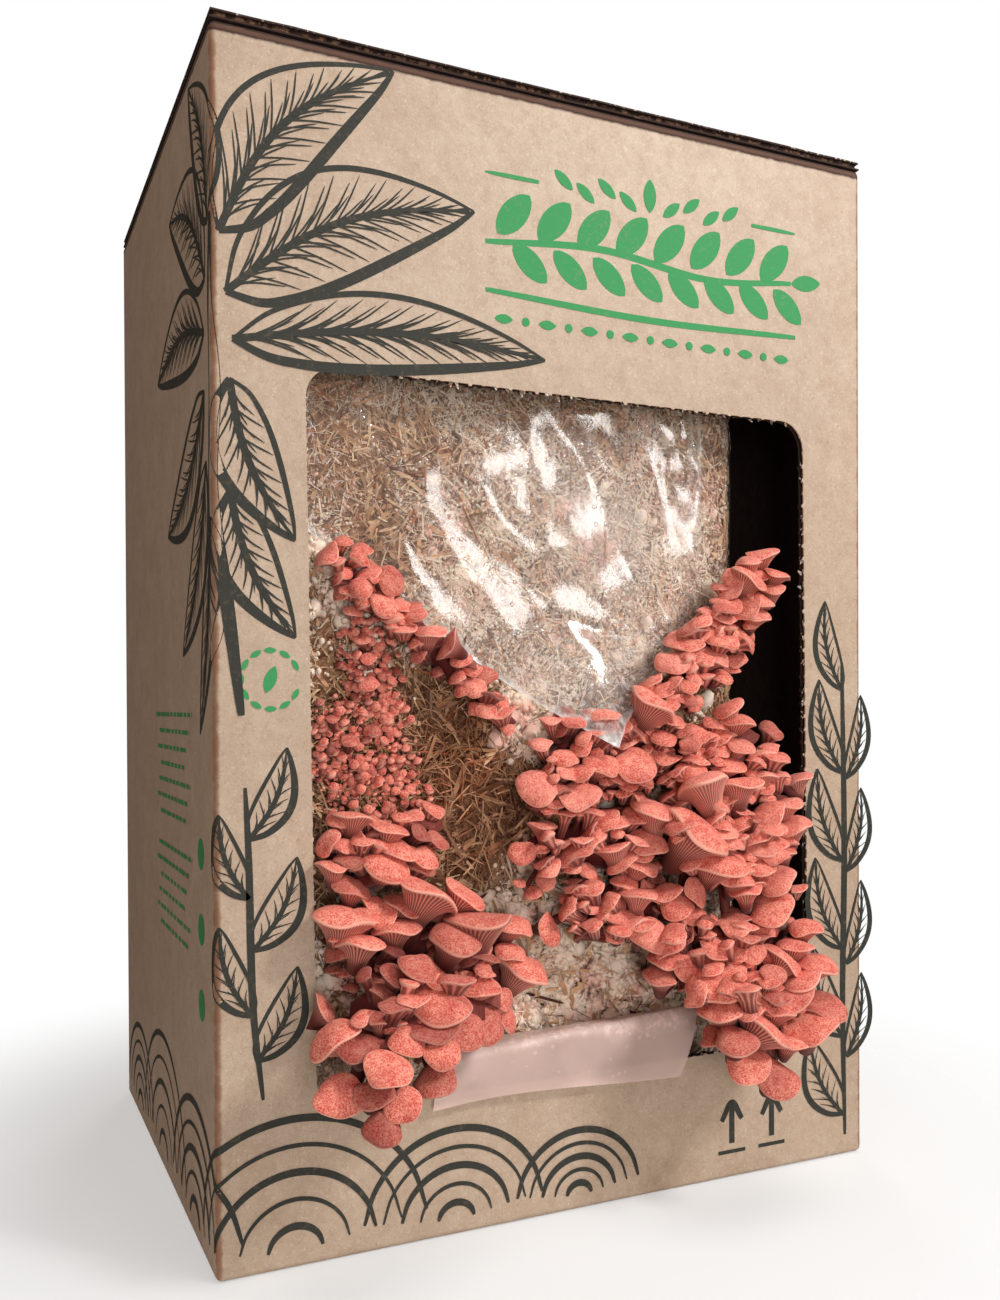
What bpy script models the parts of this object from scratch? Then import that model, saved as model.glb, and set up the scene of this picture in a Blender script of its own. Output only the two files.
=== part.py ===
"""Oyster mushroom grow kit: a straw block in a cut film bag, in a corrugated carton with a torn-out
window, and bunches of young pink oyster mushrooms that grow out of the cut.

Metres, +Z up. The origin is the middle of the carton's underside, and the window faces -Y.
"""

import math

import bmesh
import bpy
from mathutils import Matrix, Vector, noise

MM = 0.001
SNAP = 0.00001

# The gap that each bunch keeps from what it touches
CLEARANCE = 0.0004
FILM_CLEARANCE = 0.0010

# How finely a bunch is formed, and how many triangles each of its mushrooms keeps
GRAIN = 0.0012
FACES_A_CAP = 56

# Carton
CARTON_WIDTH = 0.250
CARTON_DEPTH = 0.198
CARTON_HEIGHT = 0.385
BOARD = 0.003
END_BOARDS = 0.0065
FOLD_RADIUS = 0.0014
FLAP_GAP = 0.0006
FLAP_GAP_DEPTH = 0.0012
FLAP_GAP_BACK = 0.090
FRONT = -CARTON_DEPTH / 2

# How far a cutter reaches past what it cuts
PAST = 0.010

# Window, as its corners on the front board: the left side leans in a little at the bottom
WINDOW_CORNERS = ((-0.0935, 0.047), (0.0990, 0.047), (0.0970, 0.281), (-0.0960, 0.281))
WINDOW_CORNER_RADIUS = 0.009

# Straw block, pushed against the carton's left wall
BLOCK_LOW = Vector((-0.1190, -0.0860, 0.0084))
BLOCK_HIGH = Vector((0.0870, 0.0930, 0.3380))
BLOCK_ROUNDING = 0.030
BLOCK_CUTS = 7
LUMP_SIZE = 0.030
LUMP_DEPTH = 0.0025

# Film bag: a sheet round the block, cut crosswise at the front
FILM = 0.0006
FILM_STANDS_OFF = 0.0011
CUT_LEFT = -0.094
CUT_RIGHT = 0.078
CUT_BOTTOM = 0.060
TONGUE_TIP = Vector((0.009, 0.160))
TONGUE_LEFT = Vector((-0.092, 0.231))
TONGUE_RIGHT = Vector((0.077, 0.223))
TONGUE_LIFT = 0.014
TONGUE_LIFT_REACH = 0.055
TONGUE_CREASES = (0.178, 0.200)
FLAP_LEFT = -0.056
FLAP_RIGHT = 0.042
FLAP_FOLD_Y = FRONT - 0.0045
FLAP_FOLD_Z = (0.060, 0.067)
FLAP_EDGE_Y = FRONT - 0.0035
FLAP_EDGE_Z = 0.0435

# The usual place of the eye, which the bunches' places are read from
EYE = Vector((-0.1958, -0.4580, 0.1750))

# Bunches. A swelling is (x, z, x, z, ahead, radius): the thick base that stems rise from, along a line.
# A cap is (x, z, ahead, width, rise, lean). x and z are the spot of the front board that it hides from
# the eye, and ahead is how far it stands before that board, all in millimetres. rise turns the cap's
# top from the eye (0) to straight up (90), and lean tips it to the right, in degrees.
BUNCHES = {
    "bunch_upper_left": {
        "heart": (-62, 205),
        "swellings": [(-86, 221, -28, 171, -11, 7)],
        "caps": [
            (-84, 227, -8, 8, 65, 0),
            (-77, 224, -7, 9, 65, 5),
            (-82, 211, -6, 9, 62, 10),
            (-68, 215, -4, 11, 40, 40),
            (-62, 203, -3, 11, 66, 0),
            (-55, 198, -1, 12, 76, 0),
            (-43, 189, -2, 10, 45, 0),
            (-37, 179, -2, 10, 40, 10),
        ],
    },
    "bunch_left": {
        "heart": (-74, 160),
        "swellings": [
            (-73, 193, -75, 140, -22, 16),
            (-86, 162, -70, 150, -24, 16),
            (-84, 129, -60, 129, -8, 12),
        ],
        "caps": [
            (-78, 195, -5, 8, 60, 0),
            (-77, 183, -5, 8, 60, 0),
            (-83, 165, -6, 8, 60, -10),
            (-70, 163, -4, 8, 60, 10),
            (-81, 140, 0, 13, 86, 8),
            (-69, 136, 2, 14, 84, 14),
            (-66, 129, 5, 14, 65, 18),
            (-88, 125, 4, 13, 78, 5),
            (-57, 127, 4, 13, 62, 28),
        ],
    },
    "bunch_lower_left": {
        "heart": (-60, 80),
        "swellings": [(-84, 100, -36, 92, -2, 15), (-74, 76, -44, 74, 14, 17)],
        "caps": [
            (-85, 108, 10, 20, 78, 12),
            (-79, 99, 14, 17, 80, 5),
            (-67, 104, 12, 16, 76, 0),
            (-56, 115, 12, 23, 88, 28),
            (-43, 113, 10, 16, 80, 38),
            (-38, 104, 16, 26, 84, 2),
            (-46, 97, 22, 20, 70, 18),
            (-21, 87, 10, 20, 75, 22),
            (-60, 90, 25, 16, 60, 30),
            (-52, 78, 30, 23, 57, 10),
            (-36, 69, 26, 17, 40, 35),
            (-89, 71, 26, 18, 65, -38),
            (-79, 67, 33, 17, 52, 5),
            (-48, 65, 34, 18, 35, 25),
            (-68, 59, 41, 20, 42, 10),
            (-85, 52, 34, 18, 28, 0),
            (-55, 54, 37, 17, 40, -20),
            (-69, 43, 40, 16, 20, -10),
        ],
    },
    "bunch_centre": {
        "heart": (0, 130),
        "swellings": [
            (-8, 162, 34, 161, -9, 12),
            (-16, 150, 24, 148, -8, 13),
            (-10, 128, 30, 124, -5, 14),
            (4, 106, 30, 102, -2, 12),
        ],
        "caps": [
            (-14, 162, 0, 11, 72, 0),
            (36, 163, 5, 12, 55, 18),
            (-16, 147, 6, 16, 42, 5),
            (-22, 125, 4, 10, 20, 0),
            (0, 144, 8, 16, 50, 5),
            (-14, 134, 2, 12, 82, 5),
            (22, 154, 8, 17, 48, 18),
            (14, 125, 6, 14, 84, -12),
            (28, 126, 8, 15, 50, 15),
            (24, 110, 10, 14, 72, 10),
            (14, 101, 8, 12, 40, 20),
            (30, 93, 14, 16, 35, 30),
        ],
    },
    "bunch_upper_right": {
        "heart": (62, 212),
        "swellings": [(36, 176, 74, 216, -6, 12)],
        "caps": [
            (78, 231, 4, 13, 78, -5),
            (72, 222, 5, 15, 95, 35),
            (85, 223, 6, 13, 86, 12),
            (70, 211, 5, 14, 45, -35),
            (76, 209, 5, 13, 76, 18),
            (53, 202, 0, 14, 66, 5),
            (43, 198, 0, 15, 62, 5),
            (56, 193, 3, 14, 65, 22),
            (31, 176, 4, 19, 90, 38),
            (60, 186, 3, 12, 62, 20),
        ],
    },
    "bunch_right": {
        "heart": (72, 135),
        "swellings": [(44, 152, 78, 152, -4, 15), (48, 126, 80, 122, 2, 18)],
        "caps": [
            (53, 167, 7, 13, 66, 15),
            (67, 168, 9, 15, 72, 0),
            (68, 158, 10, 14, 66, 12),
            (78, 156, 8, 12, 88, -2),
            (51, 146, 14, 22, 92, -22),
            (67, 146, 15, 18, 90, -8),
            (86, 147, 8, 13, 84, -10),
            (49, 129, 16, 27, 92, 38),
            (80, 134, 14, 17, 55, -25),
            (92, 129, 14, 16, 65, -12),
            (58, 118, 18, 22, 66, 14),
            (76, 118, 16, 16, 65, 8),
            (84, 109, 18, 17, 45, -22),
        ],
    },
    "bunch_lower_right": {
        "heart": (75, 70),
        "swellings": [(46, 88, 82, 84, 6, 16), (62, 66, 90, 62, 18, 18)],
        "caps": [
            (81, 98, 20, 18, 50, -25),
            (96, 87, 23, 16, 70, 0),
            (103, 76, 26, 18, 72, 12),
            (44, 82, 16, 16, 40, 60),
            (72, 84, 24, 15, 40, 30),
            (88, 79, 26, 17, 88, 38),
            (58, 74, 26, 22, 58, -4),
            (93, 68, 29, 22, 65, -18),
            (59, 64, 30, 20, 60, -12),
            (106, 60, 30, 20, 60, 10),
            (99, 53, 34, 22, 55, -8),
            (80, 54, 36, 24, 85, 40),
            (66, 50, 38, 19, 55, 5),
            (71, 41, 38, 18, 38, 10),
            (84, 34, 36, 19, 40, 15),
        ],
    },
}

# A cap in widths of its own: heights below and above the rim, and half widths there
CAP_SIDES = 8
NECK_TURN = 0.7
STEM_HALF_WIDTH = 0.15
NECK_BELOW = 0.55
NECK_HALF_WIDTH = 0.21
NECK_BACK = 0.18
CROWN_ABOVE = 0.10
CROWN_HALF_WIDTH = 0.35
CAP_TOP_ABOVE = 0.14
CAP_LENGTH = 0.94

KRAFT = (0.60, 0.45, 0.33)
STRAW = (0.55, 0.42, 0.28)
CLEAR_FILM = (0.86, 0.83, 0.82)
MUSHROOM_PINK = (0.78, 0.24, 0.20)


def clear_scene():
    for obj in list(bpy.data.objects):
        bpy.data.objects.remove(obj, do_unlink=True)


def new_collection(name, hidden=False):
    collection = bpy.data.collections.new(name)
    bpy.context.scene.collection.children.link(collection)
    collection.hide_render = hidden
    return collection


def new_material(name, colour, roughness, alpha=1.0):
    material = bpy.data.materials.new(name)
    material.use_nodes = True
    shader = material.node_tree.nodes["Principled BSDF"]
    shader.inputs["Base Color"].default_value = (*colour, 1.0)
    shader.inputs["Roughness"].default_value = roughness
    shader.inputs["Metallic"].default_value = 0.0
    shader.inputs["Alpha"].default_value = alpha
    return material


def new_object(name, bm, collection, material=None):
    """Takes the bmesh as one new object, and frees it."""
    mesh = bpy.data.meshes.new(name)
    bm.to_mesh(mesh)
    bm.free()
    obj = bpy.data.objects.new(name, mesh)
    collection.objects.link(obj)
    if material:
        mesh.materials.append(material)
    return obj


def new_cutter(name, bm, collection):
    obj = new_object(name, bm, collection)
    obj.hide_render = True
    obj.display_type = "WIRE"
    return obj


def cut(obj, cutter, solver="EXACT"):
    modifier = obj.modifiers.new(cutter.name, "BOOLEAN")
    modifier.operation = "DIFFERENCE"
    modifier.solver = solver
    modifier.object = cutter


def add_box(bm, low, high):
    """A box between two corners. Returns its vertices."""
    low, high = Vector(low), Vector(high)
    middle = (low + high) / 2
    matrix = Matrix.Translation(middle) @ Matrix.Diagonal((*(high - low), 1.0))
    return bmesh.ops.create_cube(bm, size=1.0, matrix=matrix)["verts"]


def settle(obj):
    """Gives the object the mesh that its modifiers make, and drops them."""
    graph = bpy.context.evaluated_depsgraph_get()
    mesh = bpy.data.meshes.new_from_object(obj.evaluated_get(graph))
    obj.modifiers.clear()
    obj.data = mesh


# Carton


def window_solid(collection, name, grown, low_y, high_y):
    """The window's opening as a solid, with its corners rounded. grown widens it all round."""
    bm = bmesh.new()
    left, bottom = WINDOW_CORNERS[0]
    for vert in add_box(bm, (-1, low_y, -1), (1, high_y, 1)):
        at_right, at_top = vert.co.x > 0, vert.co.z > 0
        corner = WINDOW_CORNERS[(2 if at_right else 3) if at_top else (1 if at_right else 0)]
        vert.co.x = corner[0] + (grown if at_right else -grown)
        vert.co.z = corner[1] + (grown if at_top else -grown)
    through = [e for e in bm.edges if abs(e.verts[0].co.y - e.verts[1].co.y) > abs(high_y - low_y) / 2]
    bmesh.ops.bevel(
        bm,
        geom=through,
        offset=WINDOW_CORNER_RADIUS + grown,
        segments=4,
        profile=0.5,
        affect="EDGES",
    )
    return new_cutter(name, bm, collection)


def make_carton(parts, cutters, material):
    bm = bmesh.new()
    half_width, half_depth = CARTON_WIDTH / 2, CARTON_DEPTH / 2
    add_box(bm, (-half_width, -half_depth, 0), (half_width, half_depth, CARTON_HEIGHT))
    bmesh.ops.bevel(
        bm, geom=bm.edges[:], offset=FOLD_RADIUS, segments=2, profile=0.5, affect="EDGES"
    )
    carton = new_object("carton", bm, parts, material)

    bm = bmesh.new()
    add_box(
        bm,
        (BOARD - half_width, BOARD - half_depth, END_BOARDS),
        (half_width - BOARD, half_depth - BOARD, CARTON_HEIGHT - END_BOARDS),
    )
    cut(carton, new_cutter("inside_cutter", bm, cutters))
    cut(carton, window_solid(cutters, "window_cutter", 0.0, FRONT - PAST, FRONT + PAST))

    # The line between the outer flap and the board under it, at the front and both sides
    for name, middle in (("top", CARTON_HEIGHT - END_BOARDS / 2), ("bottom", END_BOARDS / 2)):
        bm = bmesh.new()
        low, high = middle - FLAP_GAP / 2, middle + FLAP_GAP / 2
        outer, inner = half_width + PAST, half_width - FLAP_GAP_DEPTH
        add_box(bm, (-outer, FRONT - PAST, low), (-inner, FLAP_GAP_BACK, high))
        add_box(bm, (inner, FRONT - PAST, low), (outer, FLAP_GAP_BACK, high))
        cut(carton, new_cutter(name + "_side_gap_cutter", bm, cutters))
        bm = bmesh.new()
        add_box(bm, (-outer, FRONT - PAST, low), (outer, FRONT + FLAP_GAP_DEPTH, high))
        cut(carton, new_cutter(name + "_front_gap_cutter", bm, cutters))
    return carton


# Straw block and film


def block_surface(stands_off):
    """The block's surface as a bmesh: a finely cut cube, rounded and made lumpy.

    stands_off carries it out along its normal. The lumps only go inwards.
    """
    middle = (BLOCK_LOW + BLOCK_HIGH) / 2
    half = (BLOCK_HIGH - BLOCK_LOW) / 2
    core = half - Vector((BLOCK_ROUNDING,) * 3)
    bm = bmesh.new()
    bmesh.ops.create_cube(bm, size=2.0)
    bmesh.ops.subdivide_edges(bm, edges=bm.edges[:], cuts=BLOCK_CUTS, use_grid_fill=True)
    for vert in bm.verts:
        flat = Vector(half[i] * math.sin(vert.co[i] * math.pi / 2) for i in range(3))
        inner = Vector(max(-core[i], min(core[i], flat[i])) for i in range(3))
        normal = (flat - inner).normalized()
        surface = inner + normal * BLOCK_ROUNDING + middle
        lump = LUMP_DEPTH * (0.5 + 0.5 * noise.noise(surface / LUMP_SIZE))
        vert.co = surface + normal * (stands_off - lump)
    bmesh.ops.recalc_face_normals(bm, faces=bm.faces[:])
    return bm


def front_geometry(bm, chosen):
    """The front faces that the test chooses, with their edges and points, for a bisection."""
    faces = [f for f in bm.faces if f.normal.y < -0.5 and chosen(f.calc_center_median())]
    edges = {e for f in faces for e in f.edges}
    verts = {v for f in faces for v in f.verts}
    return faces + list(edges) + list(verts)


def tongue_height(x):
    """The height of the tongue's edge at x."""
    side = TONGUE_LEFT if x < TONGUE_TIP.x else TONGUE_RIGHT
    share = (x - TONGUE_TIP.x) / (side.x - TONGUE_TIP.x)
    return TONGUE_TIP.y + share * (side.y - TONGUE_TIP.y)


def film_sheet(spare=0.0):
    """The film's middle surface: the sleeve with its opening, the lifted tongue and the turned-out flap.

    spare draws the film's edges that much further into the opening, for a keep-out.
    """
    bm = block_surface(FILM_STANDS_OFF)
    right, up = Vector((1, 0, 0)), Vector((0, 0, 1))
    cut_left, cut_right, cut_bottom = CUT_LEFT + spare, CUT_RIGHT - spare, CUT_BOTTOM + spare
    flap_left, flap_right = FLAP_LEFT - spare, FLAP_RIGHT + spare
    drop = 1.5 * spare
    for x in (cut_left, cut_right, TONGUE_TIP.x, flap_left, flap_right):
        whole_front = front_geometry(bm, lambda c: True)
        bmesh.ops.bisect_plane(bm, geom=whole_front, plane_co=right * x, plane_no=right)
    for z in (cut_bottom, *TONGUE_CREASES):
        within = front_geometry(bm, lambda c: cut_left < c.x < cut_right)
        bmesh.ops.bisect_plane(bm, geom=within, plane_co=up * z, plane_no=up)
    for side, chosen in (
        (TONGUE_LEFT, lambda c: cut_left < c.x < TONGUE_TIP.x),
        (TONGUE_RIGHT, lambda c: TONGUE_TIP.x < c.x < cut_right),
    ):
        along = (side - TONGUE_TIP).normalized()
        bmesh.ops.bisect_plane(
            bm,
            geom=front_geometry(bm, chosen),
            plane_co=(TONGUE_TIP.x, 0, TONGUE_TIP.y - drop),
            plane_no=(-along.y, 0, along.x),
        )

    opened = []
    for face in bm.faces:
        c = face.calc_center_median()
        across = cut_left < c.x < cut_right
        if face.normal.y < -0.5 and across and cut_bottom < c.z < tongue_height(c.x) - drop:
            opened.append(face)
    bmesh.ops.delete(bm, geom=opened, context="FACES")

    for vert in bm.verts:
        at_front = vert.co.y < BLOCK_LOW.y + BLOCK_ROUNDING
        past_tip = Vector((vert.co.x, vert.co.z)) - TONGUE_TIP
        from_tip = math.copysign(past_tip.length, past_tip.y)
        if at_front and -drop - MM < from_tip < TONGUE_LIFT_REACH:
            vert.co.y -= TONGUE_LIFT * (1 - from_tip / TONGUE_LIFT_REACH) ** 2

    # The lower flap goes forward from the opening's lower edge, then down before the board
    rim = [
        e
        for e in bm.edges
        if e.is_boundary
        and all(abs(v.co.z - cut_bottom) < SNAP for v in e.verts)
        and all(flap_left - SNAP < v.co.x < flap_right + SNAP for v in e.verts)
    ]
    for low, y in ((False, FLAP_FOLD_Y), (True, FLAP_EDGE_Y)):
        grown = bmesh.ops.extrude_edge_only(bm, edges=rim)["geom"]
        rim = [e for e in grown if isinstance(e, bmesh.types.BMEdge) and e.is_boundary]
        for vert in [v for v in grown if isinstance(v, bmesh.types.BMVert)]:
            share = (vert.co.x - FLAP_LEFT) / (FLAP_RIGHT - FLAP_LEFT)
            fold = FLAP_FOLD_Z[0] + share * (FLAP_FOLD_Z[1] - FLAP_FOLD_Z[0])
            vert.co.y = y
            vert.co.z = FLAP_EDGE_Z - spare if low else fold
        rim = [e for e in rim if all(abs(v.co.y - y) < SNAP for v in e.verts)]
    return bm


def make_straw_block(parts, material):
    block = new_object("straw_block", block_surface(0.0), parts, material)
    block.data.shade_smooth()
    return block


def make_film_bag(parts, material):
    film = new_object("film_bag", film_sheet(), parts, material)
    wall = film.modifiers.new("film", "SOLIDIFY")
    wall.thickness = FILM
    wall.offset = 0.0
    return film


# Mushrooms


def placed(x, z, ahead):
    """The point, ahead of the front board, that hides the board's spot (x, z) from the eye."""
    spot = Vector((x * MM, FRONT, z * MM))
    return spot.lerp(EYE, ahead * MM / (FRONT - EYE.y))


def nearest_on(line, point):
    """The point of a swelling's middle line that is nearest to the given one."""
    start, end = line
    along = end - start
    share = (point - start).dot(along) / along.length_squared
    return start.lerp(end, max(0.0, min(1.0, share)))


def facing(centre, rise, lean):
    """The way a cap's top points."""
    to_eye = (EYE - centre).normalized()
    right = to_eye.cross(Vector((0, 0, 1))).normalized() * -1
    up = right.cross(to_eye).normalized() * -1
    upright = up * math.cos(math.radians(lean)) + right * math.sin(math.radians(lean))
    return to_eye * math.cos(math.radians(rise)) + upright * math.sin(math.radians(rise))


def grow_cap(bm, cap, lines):
    """One mushroom: a stem that bends up out of the swelling, its gill cone and its domed top."""
    x, z, ahead, width, rise, lean = cap
    width = width * MM
    centre = placed(x, z, ahead)
    root = min((nearest_on(line, centre) for line in lines), key=lambda p: (p - centre).length)
    top = facing(centre, rise, lean)
    outward = centre - root
    outward = (outward - top * outward.dot(top)).normalized()
    neck = centre - top * NECK_BELOW * width - outward * NECK_BACK * width
    rings = [
        (root, (neck - root).normalized(), STEM_HALF_WIDTH),
        (neck, (neck - root).normalized().lerp(top, NECK_TURN).normalized(), NECK_HALF_WIDTH),
        (centre, top, 0.5),
        (centre + top * CROWN_ABOVE * width, top, CROWN_HALF_WIDTH),
        (centre + top * CAP_TOP_ABOVE * width, top, 0.0),
    ]
    sheet = bmesh.ops.create_grid(bm, x_segments=CAP_SIDES, y_segments=len(rings) - 1, size=1.0)
    for vert in sheet["verts"]:
        turn = (vert.co.x + 1) * math.pi
        middle, normal, half_width = rings[round((vert.co.y + 1) / 2 * (len(rings) - 1))]
        ahead_axis = (outward - normal * outward.dot(normal)).normalized()
        side_axis = normal.cross(ahead_axis)
        reach = ahead_axis * math.cos(turn) * CAP_LENGTH + side_axis * math.sin(turn)
        vert.co = middle + reach * half_width * width
    # The sheet is now a tube: its seam and its top are merged, and its foot is closed
    verts = list(sheet["verts"])
    bmesh.ops.remove_doubles(bm, verts=verts, dist=SNAP)
    foot = [e for e in bm.edges if e.is_boundary]
    bmesh.ops.holes_fill(bm, edges=foot, sides=0)


def grow_swelling(bm, line, radius):
    """A lumpy ball drawn out along its middle line."""
    start, end = line
    along = end - start
    turn = Vector((0, 0, 1)).rotation_difference(along).to_matrix().to_4x4()
    stretch = Matrix.Diagonal((radius, radius, radius + along.length / 2, 1.0))
    matrix = Matrix.Translation((start + end) / 2) @ turn @ stretch
    bmesh.ops.create_icosphere(bm, subdivisions=2, radius=1.0, matrix=matrix)


def parting_cutter(bunch, other, collection):
    """A big box on the other bunch's side of the plane half-way between two bunches' hearts."""
    here, there = (Vector(BUNCHES[name]["heart"]) * MM for name in (bunch, other))
    away = (there - here).normalized()
    middle = (here + there) / 2 + away * (0.5 - CLEARANCE / 2)
    turn = Matrix.Rotation(-math.atan2(away.y, away.x), 4, "Y")
    bm = bmesh.new()
    bmesh.ops.create_cube(bm, size=1.0, matrix=Matrix.Translation((middle.x, 0, middle.y)) @ turn)
    return new_cutter(f"{bunch}_from_{other}_cutter", bm, collection)


def drop_doubled_faces(bm):
    """Drops each pair of faces that lie back to back on the same three points."""
    bmesh.ops.triangulate(bm, faces=bm.faces[:])
    at_corners = {}
    for face in bm.faces:
        at_corners.setdefault(frozenset(face.verts), []).append(face)
    pairs = [face for faces in at_corners.values() if len(faces) > 1 for face in faces]
    bmesh.ops.delete(bm, geom=pairs, context="FACES")


def drop_crumbs(bm):
    """Drops all but the largest body."""
    bodies = []
    unseen = set(bm.verts)
    while unseen:
        stack = [unseen.pop()]
        body = set(stack)
        while stack:
            for edge in stack.pop().link_edges:
                for vert in edge.verts:
                    if vert in unseen:
                        unseen.discard(vert)
                        body.add(vert)
                        stack.append(vert)
        bodies.append(body)
    bodies.sort(key=len)
    crumbs = [v for body in bodies[:-1] for v in body]
    bmesh.ops.delete(bm, geom=crumbs, context="VERTS")


def clean(obj):
    bm = bmesh.new()
    bm.from_mesh(obj.data)
    drop_doubled_faces(bm)
    drop_crumbs(bm)
    bm.to_mesh(obj.data)
    bm.free()


def make_bunch(name, parts, cutters, material, walls):
    """One bunch: its swellings and mushrooms grown together, then cleared of all that it touches."""
    form = BUNCHES[name]
    bm = bmesh.new()
    lines = []
    for x1, z1, x2, z2, ahead, radius in form["swellings"]:
        lines.append((placed(x1, z1, ahead), placed(x2, z2, ahead)))
        grow_swelling(bm, lines[-1], radius * MM)
    for cap in form["caps"]:
        grow_cap(bm, cap, lines)
    bmesh.ops.recalc_face_normals(bm, faces=bm.faces[:])
    bunch = new_object(name, bm, parts, material)
    grown = bunch.modifiers.new("grown_together", "REMESH")
    grown.mode = "VOXEL"
    grown.voxel_size = GRAIN
    settle(bunch)
    thinned = bunch.modifiers.new("thinned", "DECIMATE")
    thinned.decimate_type = "COLLAPSE"
    thinned.use_collapse_triangulate = True
    thinned.ratio = FACES_A_CAP * (len(form["caps"]) + 4) / len(bunch.data.polygons) / 2
    settle(bunch)
    for wall in walls:
        cut(bunch, wall, solver="MANIFOLD")
    for other in BUNCHES:
        if other != name:
            cut(bunch, parting_cutter(name, other, cutters), solver="MANIFOLD")
    settle(bunch)
    clean(bunch)
    return bunch


def make_keep_out_walls(cutters):
    """What the bunches stay clear of: the block, the film and the front board, each grown a little."""
    block = new_cutter("block_keep_out", block_surface(CLEARANCE), cutters)
    film = new_cutter("film_keep_out", film_sheet(spare=FILM_CLEARANCE), cutters)
    wall = film.modifiers.new("film", "SOLIDIFY")
    wall.thickness = FILM + 2 * FILM_CLEARANCE
    wall.offset = 0.0
    bm = bmesh.new()
    low_y, high_y = FRONT - CLEARANCE, FRONT + BOARD + CLEARANCE
    half_width = CARTON_WIDTH / 2 + PAST
    add_box(bm, (-half_width, low_y, -PAST), (half_width, high_y, CARTON_HEIGHT + PAST))
    board = new_cutter("board_keep_out", bm, cutters)
    cut(board, window_solid(cutters, "board_window", -CLEARANCE, FRONT - PAST, FRONT + PAST))
    return block, film, board


def main():
    clear_scene()
    parts = new_collection("oyster_mushroom_grow_kit")
    cutters = new_collection("cutters", hidden=True)
    make_carton(parts, cutters, new_material("kraft_board", KRAFT, 0.85))
    make_straw_block(parts, new_material("straw", STRAW, 0.9))
    make_film_bag(parts, new_material("clear_film", CLEAR_FILM, 0.15, alpha=0.35))
    walls = make_keep_out_walls(cutters)
    pink = new_material("mushroom_flesh", MUSHROOM_PINK, 0.6)
    for name in BUNCHES:
        make_bunch(name, parts, cutters, pink, walls)


main()
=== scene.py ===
"""Looks of the oyster mushroom grow kit: a kraft carton with a torn-out window, a block of straw in a cut
film bag, and the bunches of young pink mushrooms that grow out of the cut.

Metres, +Z up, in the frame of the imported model. Places in the long lists are in millimetres.
"""

import math

import bmesh
import bpy
import numpy as np
from mathutils import Euler, Matrix, Vector, noise


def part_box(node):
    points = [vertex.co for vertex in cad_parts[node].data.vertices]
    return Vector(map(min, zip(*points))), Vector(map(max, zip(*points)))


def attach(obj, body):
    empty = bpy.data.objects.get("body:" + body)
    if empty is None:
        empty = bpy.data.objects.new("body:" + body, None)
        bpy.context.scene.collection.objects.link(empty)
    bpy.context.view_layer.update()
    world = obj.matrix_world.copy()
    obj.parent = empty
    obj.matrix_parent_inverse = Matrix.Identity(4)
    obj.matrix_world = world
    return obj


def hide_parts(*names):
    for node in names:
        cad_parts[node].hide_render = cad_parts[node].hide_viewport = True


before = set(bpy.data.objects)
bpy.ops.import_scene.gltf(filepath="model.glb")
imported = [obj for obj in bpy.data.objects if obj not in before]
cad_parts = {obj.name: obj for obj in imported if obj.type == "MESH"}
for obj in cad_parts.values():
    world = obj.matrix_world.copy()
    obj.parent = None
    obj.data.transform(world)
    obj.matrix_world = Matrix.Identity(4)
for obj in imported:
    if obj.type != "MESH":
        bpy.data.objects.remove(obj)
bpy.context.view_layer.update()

# A millimetre in metres, nearly a whole turn in radians, and the distance at which points are welded
MM = 0.001
FULL_TURN = 6.28
WELD = 0.000005

# Carton
CARTON_LOW, CARTON_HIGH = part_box("carton")
FRONT = CARTON_LOW.y
LEFT = CARTON_LOW.x
RIGHT = CARTON_HIGH.x
BACK = CARTON_HIGH.y
TOP = CARTON_HIGH.z
BOARD = 0.0030
LINER = 0.0006
LAYER_GAP = 0.00002
FLUTES_SET_BACK = 0.0009
LID = 0.0030
LID_GAP = 0.0004
LID_IN_SIDES, LID_IN_FRONT, LID_IN_BACK = 0.0004, 0.0005, 0.0002
LID_CUTS = 28
LID_EDGE = 0.002
LID_RAGGED = 0.0003
LID_SAG = 0.0004
LID_SAG_REACH = 0.06
FOLD_RADIUS = 0.0022
SHARP_ANGLE = 35
WINDOW_CORNERS = ((-0.0935, 0.047), (0.0990, 0.047), (0.0970, 0.281), (-0.0960, 0.281))
WINDOW_RADIUS = 0.010
TURN_PARTS = 6
NIB_STEP = 0.0050
NIB_HEIGHT = 0.0005
CUTTER_REACH = 0.008
TORN_CHANCE = 0.34
CLEAN_CHANCE = 0.14
FLAKE_THICKNESS = 0.00012

# Straw block and film
BLOCK_LOW, BLOCK_HIGH = Vector((-0.1190, -0.0860, 0.0084)), Vector((0.0870, 0.0930, 0.3380))
BLOCK_ROUNDING = 0.030
FILM_STANDS_OFF = 0.0011
CUT_LEFT, CUT_RIGHT, CUT_BOTTOM = -0.094, 0.078, 0.060
TONGUE_TIP = Vector((0.009, 0.160))
TONGUE_LEFT = Vector((-0.092, 0.231))
TONGUE_RIGHT = Vector((0.077, 0.223))
TONGUE_LIFT = 0.024
TONGUE_LIFT_REACH = 0.055
FLAP_LEFT, FLAP_RIGHT = -0.056, 0.042
FLAP_FOLD_Y = FRONT - 0.0045
FLAP_FOLD_Z = (0.060, 0.067)
FLAP_EDGE_Y = FRONT - 0.0035
FLAP_EDGE_Z = 0.0435
FLAP_TOP = 0.075
FLAP_ROWS = 10
FLAP_SPREAD = 0.003
FLAP_DRAWN = 0.018
FOLD_AT, PAST_FOLD = 0.4, 0.6
FILM_CUTS = 40
REFINED_FROM = 0.150
FRONT_DEPTH = 0.004
DRAPED_DEPTH, DRAPED_SOFT = 0.012, 0.010
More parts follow.
